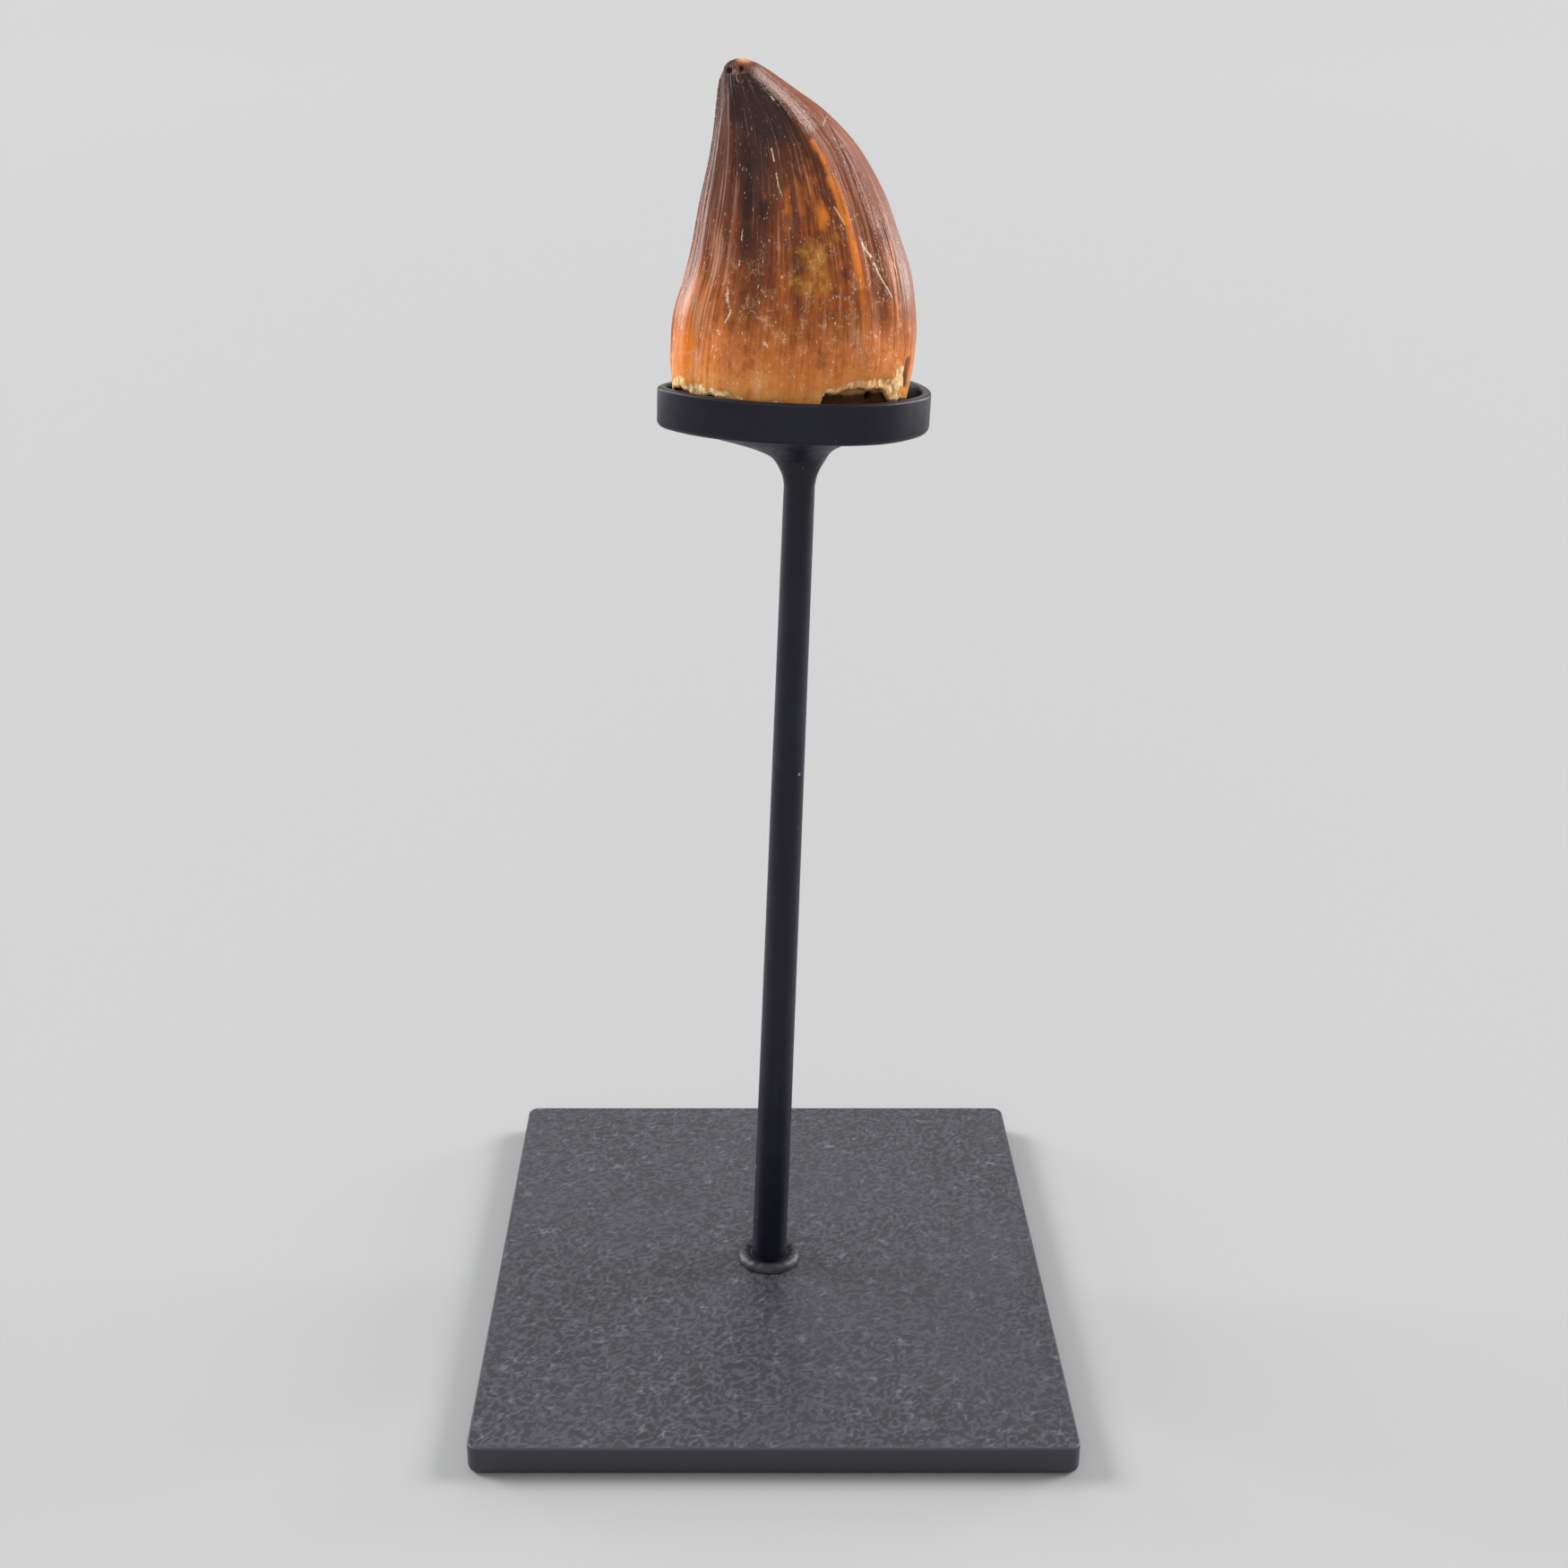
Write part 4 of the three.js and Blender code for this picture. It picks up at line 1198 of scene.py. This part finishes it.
def makeToothMaterial():
    look = toothLook
    material, tree, surface = newMaterial("fossilEnamel")
    skin = attributeOutput(tree, "skin", "Vector")

    def stretched(around, up):
        scale = (around, around, up)
        return addNode(tree, "ShaderNodeMapping", {"Vector": skin, "Scale": scale}).outputs["Vector"]

    def skinShare(around, up, detail=3.0, roughness=0.55):
        return noiseShare(tree, stretched(around, up), 1.0, detail, roughness)

    def shares(name):
        vector = attributeOutput(tree, name, "Vector")
        return addNode(tree, "ShaderNodeSeparateXYZ", {"Vector": vector}).outputs

    def ranged(value, low, high, newLow=0.0, newHigh=1.0):
        return mapRange(tree, value, low, high, newLow, newHigh)

    def scaled(first, second):
        return calculate(tree, "MULTIPLY", first, second)

    def added(first, factor, rest):
        return calculate(tree, "MULTIPLY_ADD", first, factor, rest)

    def larger(first, second):
        return calculate(tree, "MAXIMUM", first, second)

    def over(under, share, tone):
        # Lays a colour of the finish over what is there so far
        return mixColors(tree, share, under, look[tone] if isinstance(tone, str) else tone)

    def broken(share, grain, reach, low, high, top=1.0):
        # Breaks up the border of a soft patch with a fine noise
        rough = added(calculate(tree, "SUBTRACT", grain, 0.5), reach, share)
        return ranged(rough, low, high, 0.0, top)

    def flecks(around, up, share, size):
        # Small specks in a few of the cells
        cells = addNode(tree, "ShaderNodeTexVoronoi", {"Vector": stretched(around, up), "Scale": 1.0})
        chance = addNode(tree, "ShaderNodeSeparateColor", {"Color": cells.outputs["Color"]}).outputs
        chosen = calculate(tree, "LESS_THAN", chance["Red"], share)
        reach = added(chance["Green"], size, size * 0.4)
        ragged = added(calculate(tree, "SUBTRACT", grain, 0.5), 0.75, cells.outputs["Distance"])
        return scaled(chosen, ranged(calculate(tree, "SUBTRACT", reach, ragged), -0.03, 0.09))

    def crazing():
        # A broken net of hair cracks filled with pale dust
        wobble = addNode(tree, "ShaderNodeTexNoise", {
            "Vector": stretched(9, 9), "Scale": 1.0, "Detail": 2.0}).outputs["Color"]
        moved = addNode(tree, "ShaderNodeVectorMath", {0: wobble, "Scale": 2.2}, operation="SCALE")
        place = addNode(tree, "ShaderNodeVectorMath", {
            0: stretched(20, 15), 1: moved.outputs["Vector"]}, operation="ADD").outputs["Vector"]
        net = addNode(tree, "ShaderNodeTexVoronoi", {
            "Vector": place, "Scale": 1.0}, feature="DISTANCE_TO_EDGE").outputs["Distance"]
        lines = scaled(ranged(net, 0.11, 0.0), ranged(mottle, 0.5, 0.38, 0.0, 0.42))
        return scaled(scaled(lines, ranged(grain, 0.4, 0.58)), ranged(up, 1.5, 0.7))

    tone = shares("tone")
    warmth = shares("warmth")
    damage = shares("damage")
    wear = shares("wear")
    around, back, up = shares("skin")
    cloud = skinShare(3.4, 3.2, 5, 0.6)
    streak = skinShare(12, 0.9, 4, 0.6)
    fine = skinShare(36, 1.7, 4, 0.6)
    grain = skinShare(64, 64, 3)
    ragged = skinShare(20, 15, 4, 0.6)
    mottle = skinShare(8, 7, 5, 0.65)
    folds = skinShare(6.5, 1.3, 5, 0.6)
    upper = ranged(up, 0.1, 1.4, 0.28, 1.0)
    middle = scaled(ranged(up, 0.4, 0.9), ranged(up, 2.5, 1.8))
    lowShare = ranged(up, 1.7, 0.7, 0.25, 0.7)
    aboveFoot = ranged(up, 0.08, 0.5, 0.5, 1.0)

    # From the base to the tip, with mottling low down, streaks and soft dark folds
    climb = added(up, 19 / 48, -0.13)
    climb = added(cloud, 0.2, climb)
    climb = added(streak, 0.08, climb)
    climb = added(ranged(back, 0.1, 0.9), 0.12, climb)
    color = colorRamp(tree, climb, look["heights"])
    color = over(color, scaled(scaled(ranged(mottle, 0.51, 0.66), lowShare), aboveFoot), "mottleDark")
    color = over(color, scaled(ranged(mottle, 0.46, 0.28), lowShare), "mottlePale")
    color = over(color, scaled(ranged(streak, 0.48, 0.7, 0.0, 0.5), upper), "darkStreak")
    color = over(color, scaled(ranged(fine, 0.52, 0.7, 0.0, 0.5), upper), "paleStreak")
    color = over(color, scaled(ranged(fine, 0.48, 0.34, 0.0, 0.7), upper), "darkStreak")
    color = over(color, scaled(ranged(folds, 0.42, 0.62, 0.0, 0.88), middle), "foldDark")
    color = over(color, scaled(ranged(folds, 0.42, 0.28, 0.0, 0.5), middle), "glow")

    # The dark tip, the painted mauve sheen on the flank and left strip, and the patches
    color = over(color, broken(tone["X"], fine, 0.5, 0.0, 1.0, 0.94), "tipShade")
    # Painted sheen laid into the colour, rosier on the right flank and greyer beside the left edge
    mauveSheenTone = mixColors(tree, ranged(around, -0.2, -0.8), look["mauveSheen"], look["mauveSheenLeft"])
    color = over(color, scaled(tone["Y"], ranged(fine, 0.35, 0.6, 0.35, 0.95)), mauveSheenTone)
    color = over(color, broken(wear["Z"], fine, 2.2, 0.2, 1.0, 0.8), "pale")
    color = over(color, broken(warmth["Z"], ragged, 0.9, 0.2, 1.0, 0.8), "blotch")
    glowNoise = added(mottle, 0.5, scaled(streak, 0.5))
    color = over(color, broken(warmth["X"], glowNoise, 2.2, 0.15, 0.85, 0.92), "glow")
    honeyTone = mixColors(tree, ranged(mottle, 0.6, 0.42), look["honeyDark"], look["honey"])
    color = over(color, broken(warmth["Y"], ragged, 1.5, 0.15, 1.1, 0.8), honeyTone)
    color = over(color, broken(wear["Y"], grain, 0.7, 0.2, 0.9), "cap")

    # Scuffs, crazing, specks and scratches
    scuffs = broken(tone["Z"], added(fine, 0.3, scaled(grain, 0.7)), 3.4, 0.55, 1.05, 0.75)
    color = over(color, scuffs, "scuff")
    color = over(color, crazing(), "fleck")
    small, thin, large = (flecks(*kind) for kind in look["specks"])
    crowd = scaled(ranged(mottle, 0.58, 0.42, 0.15, 1.0), ranged(up, 2.4, 0.8, 0.45, 1.0))
    dots = scaled(larger(larger(small, thin), large), crowd)
    pale = larger(dots, broken(wear["X"], grain, 1.1, 0.35, 0.85, 0.9))
    color = over(color, pale, "fleck")

    # The chipped edge, the root stub with painted shadow low down in the slot under the broken edge, and
    # the cracks
    creamTone = mixColors(tree, ranged(ragged, 0.42, 0.62), look["creamShade"], look["cream"])
    chipped = broken(damage["X"], ragged, 1.6, 0.45, 0.6)
    color = over(color, chipped, creamTone)
    # Painted shadow: the root stub is near black below the rim, where the broken edge overhangs it, and its
    # own pale brown above
    rootRise = added(calculate(tree, "SUBTRACT", ragged, 0.5), 0.05, up)
    rootTone = mixColors(tree, ranged(rootRise, 0.02, 0.05), look["rootSlotShadow"], look["rootPale"])
    color = over(color, scaled(damage["Y"], 0.92), rootTone)
    color = over(color, damage["Z"], "crack")
    tree.links.new(color, surface.inputs["Base Color"])

    rough = added(fine, 0.14, look["roughness"] - 0.07)
    rougher = ((scuffs, 0.2), (pale, 0.25), (tone["Y"], 0.06), (chipped, 0.3), (damage["Y"], 0.4))
    for share, extra in rougher:
        rough = added(share, extra, rough)
    tree.links.new(calculate(tree, "MINIMUM", rough, 0.95), surface.inputs["Roughness"])
    surface.inputs["Specular IOR Level"].default_value = look["reflection"]
    surface.inputs["Coat Weight"].default_value = look["coat"]
    surface.inputs["Coat Roughness"].default_value = look["coatRoughness"]
    lineBump = bumpFrom(tree, added(pale, 0.4, fine), look["striaeDepth"], 0.6)
    tree.links.new(bumpFrom(tree, grain, look["grainDepth"], 0.5, lineBump), surface.inputs["Normal"])
    return material


toothMaterial = makeToothMaterial()
print("tooth finish made")


def makeTooth():
    turns, rings, rootRows = toothRings()
    paint, noises = paintTooth(rings, turns, rootRows)
    shapeTooth(rings, turns, rootRows, paint, noises)
    piece = meshFromRings("tooth", rings + (0, 0, stand["trayRim"]), True, toothMaterial)
    for name, values in paint.items():
        values = values.reshape(-1, 3)
        addVectors(piece.data, name, np.vstack([values, values[:1], values[-1:]]))
    standsFor(piece, "tooth_enamel", "tooth")
    return rings, turns, paint, rootRows


toothPoints, toothTurns, toothPaint, toothRootRows = makeTooth()
print("tooth made")

# Grains on the tooth: beads down the left edge, paled as a painted highlight of light caught on the edge,
# and cream crumbs along the broken edge
edgeBeads = {
    "spacing": 0.43, "radius": 0.2, "smallest": (0.7, 0.7, 0.7), "largest": (1.05, 1.05, 1.6),   # mm
    "kept": 0.92, "seed": 5, "sunk": 0.2,
    # how much paler the beads are made: a painted highlight along the left edge
    "catchLight": 0.5,
    "rowsLeftOut": (16, 14),   # above the broken edge and below the tip
}
crumbs = {
    "spacing": 0.36, "radius": 0.2, "smallest": (0.5, 0.4, 0.5), "largest": (1.7, 1.1, 1.3),     # mm
    "kept": 0.6, "seed": 9, "sunk": 0.12,
    "ovalAcross": 18.5, "ovalDeep": 11.5,
}


def makeGrainTree():
    tree, given = newTree("grainRow", {
        "Spacing": ("NodeSocketFloat", 0.0004),
        "Radius": ("NodeSocketFloat", 0.0002),
        "Smallest": ("NodeSocketVector", None),
        "Largest": ("NodeSocketVector", None),
        "Kept": ("NodeSocketFloat", 0.9),
        "Seed": ("NodeSocketInt", 1),
    })
    line = addNode(tree, "GeometryNodeMeshToCurve", {"Mesh": given["Geometry"]})
    places = addNode(tree, "GeometryNodeResampleCurve", {
        "Curve": line.outputs["Curve"], "Length": given["Spacing"]}, mode="LENGTH")
    grain = addNode(tree, "GeometryNodeMeshUVSphere", {
        "Radius": given["Radius"], "Segments": 8, "Rings": 6})
    chosen = addNode(tree, "FunctionNodeRandomValue", {"Seed": given["Seed"]}, data_type="BOOLEAN")
    size = addNode(tree, "FunctionNodeRandomValue", {"Seed": given["Seed"]}, data_type="FLOAT_VECTOR")
    turn = addNode(tree, "FunctionNodeRandomValue", {"Seed": given["Seed"]}, data_type="FLOAT_VECTOR")
    tree.links.new(given["Kept"], chosen.inputs["Probability"])
    tree.links.new(given["Smallest"], size.inputs["Min"])
    tree.links.new(given["Largest"], size.inputs["Max"])
    turn.inputs["Max"].default_value = (0.9, 0.9, 6.28)
    spread = addNode(tree, "GeometryNodeInstanceOnPoints", {
        "Points": places.outputs["Curve"], "Selection": chosen.outputs["Value"],
        "Instance": grain.outputs["Mesh"], "Rotation": turn.outputs["Value"],
        "Scale": size.outputs["Value"]})
    smooth = addNode(tree, "GeometryNodeSetShadeSmooth", {"Geometry": spread.outputs["Instances"]})
    endTree(tree, smooth.outputs["Geometry"], toothMaterial)
    return tree


def growGrains(name, sizes, tree, path, closed):
    points = path + (0, 0, stand["trayRim"])
    piece = runTree(tree, lineHolder(name, points * mm, closed), {
        "Spacing": sizes["spacing"] * mm, "Radius": sizes["radius"] * mm, "Smallest": sizes["smallest"],
        "Largest": sizes["largest"], "Kept": sizes["kept"], "Seed": sizes["seed"]})
    places = np.empty(len(piece.data.vertices) * 3)
    piece.data.vertices.foreach_get("co", places)
    return piece, places.reshape(-1, 3) / mm


def finishGrains(piece, rows, columns, creamy, catchLight):
    # Gives each grain the finish of the skin under it and leans it with the tooth
    piece.data.transform(leaning)
    for name, values in toothPaint.items():
        picked = np.array(values[rows, columns])
        if name == "damage" and creamy:
            picked[:] = (1, 0, 0)
        # Painted highlight: a higher scratch share makes the grains pale, like light caught on the edge
        if name == "wear":
            picked[:, 0] += catchLight
        addVectors(piece.data, name, picked)
    standsFor(piece, "tooth_enamel")


def makeBeads(tree):
    above, below = edgeBeads["rowsLeftOut"]
    rows = np.arange(toothRootRows + above, len(toothPoints) - below)
    path = toothPoints[rows, 0] + (edgeBeads["sunk"], 0, 0)
    piece, places = growGrains("edgeBeads", edgeBeads, tree, path, False)
    nearest = np.searchsorted(toothPoints[rows, 0, 2], places[:, 2] - stand["trayRim"])
    finishGrains(piece, rows[np.clip(nearest, 0, len(rows) - 1)], 0, False, edgeBeads["catchLight"])


def makeCrumbs(tree):
    edge = toothPoints[toothRootRows]
    radians = np.radians(toothTurns)
    inward = np.stack([np.cos(radians), np.sin(radians), 0 * radians], axis=-1)
    piece, places = growGrains("edgeCrumbs", crumbs, tree, edge - inward * crumbs["sunk"], True)
    away = places - edge.mean(0)
    around = np.arctan2(away[:, 1] / crumbs["ovalDeep"], away[:, 0] / crumbs["ovalAcross"])
    columns = np.clip(np.searchsorted(radians, around), 0, len(radians) - 1)
    finishGrains(piece, toothRootRows, columns, True, 0.0)


grainTree = makeGrainTree()
makeBeads(grainTree)
makeCrumbs(grainTree)
print("grains made")

# Plain studio: a pale floor out to the horizon, soft light from both sides and a little from behind
studio = {
    "floorColor": (0.38, 0.378, 0.375),
    "floorRoughness": 0.95,
    "floorReflection": 0.1,
    "floorRings": ((0.5, 0.0), (6.0, 0.0), (20.0, 0.0), (60.0, 1.6)),   # metres out and up
    "floorSides": 96,
    "skyColor": (0.94, 0.97, 1.0),
    "skyStrength": 0.48,
    # name, degrees from the front towards the right, degrees above the floor, strength, softness in degrees
    "suns": (
        ("sunLeft", -108, 36, 2.6, 24),
        ("sunRight", 104, 36, 2.3, 24),
        ("sunFront", -14, 38, 0.55, 45),
        ("sunBack", 180, 36, 0.5, 40),
        ("rimLeft", -122, 5, 2.1, 22),
        ("rimRight", 118, 5, 2.6, 22),
    ),
}


def makeFloor():
    material, tree, surface = newMaterial("floorCard")
    surface.inputs["Base Color"].default_value = (*studio["floorColor"], 1)
    surface.inputs["Roughness"].default_value = studio["floorRoughness"]
    surface.inputs["Specular IOR Level"].default_value = studio["floorReflection"]
    sides = studio["floorSides"]
    turns = np.linspace(0, 2 * math.pi, sides, endpoint=False)
    vertices = [(reach * math.cos(turn), reach * math.sin(turn), rise)
                for reach, rise in studio["floorRings"] for turn in turns]
    faces = [tuple(range(sides))]
    for first in range(0, sides * (len(studio["floorRings"]) - 1), sides):
        for i in range(sides):
            after = (i + 1) % sides
            faces.append((first + i, first + sides + i, first + sides + after, first + after))
    mesh = bpy.data.meshes.new("floor")
    mesh.from_pydata(vertices, [], faces)
    mesh.shade_smooth()
    mesh.materials.append(material)
    linkPiece("floor", mesh)


def makeLights():
    for name, around, above, strength, softness in studio["suns"]:
        data = bpy.data.lights.new(name, "SUN")
        data.energy = strength
        data.angle = math.radians(softness)
        around = math.radians(around)
        above = math.radians(above)
        level = math.cos(above)
        way = Vector((math.sin(around) * level, -math.cos(around) * level, math.sin(above)))
        lamp = linkPiece(name, data)
        lamp.location = way
        lamp.rotation_euler = (-way).to_track_quat("-Z", "Y").to_euler()


def makeSky():
    world = bpy.data.worlds.new("sky")
    world.use_nodes = True
    background = world.node_tree.nodes["Background"]
    background.inputs["Color"].default_value = (*studio["skyColor"], 1)
    background.inputs["Strength"].default_value = studio["skyStrength"]
    bpy.context.scene.world = world
    bpy.context.scene.view_settings.view_transform = "Standard"


makeFloor()
makeLights()
makeSky()
print("studio made")

bpy.context.view_layer.update()
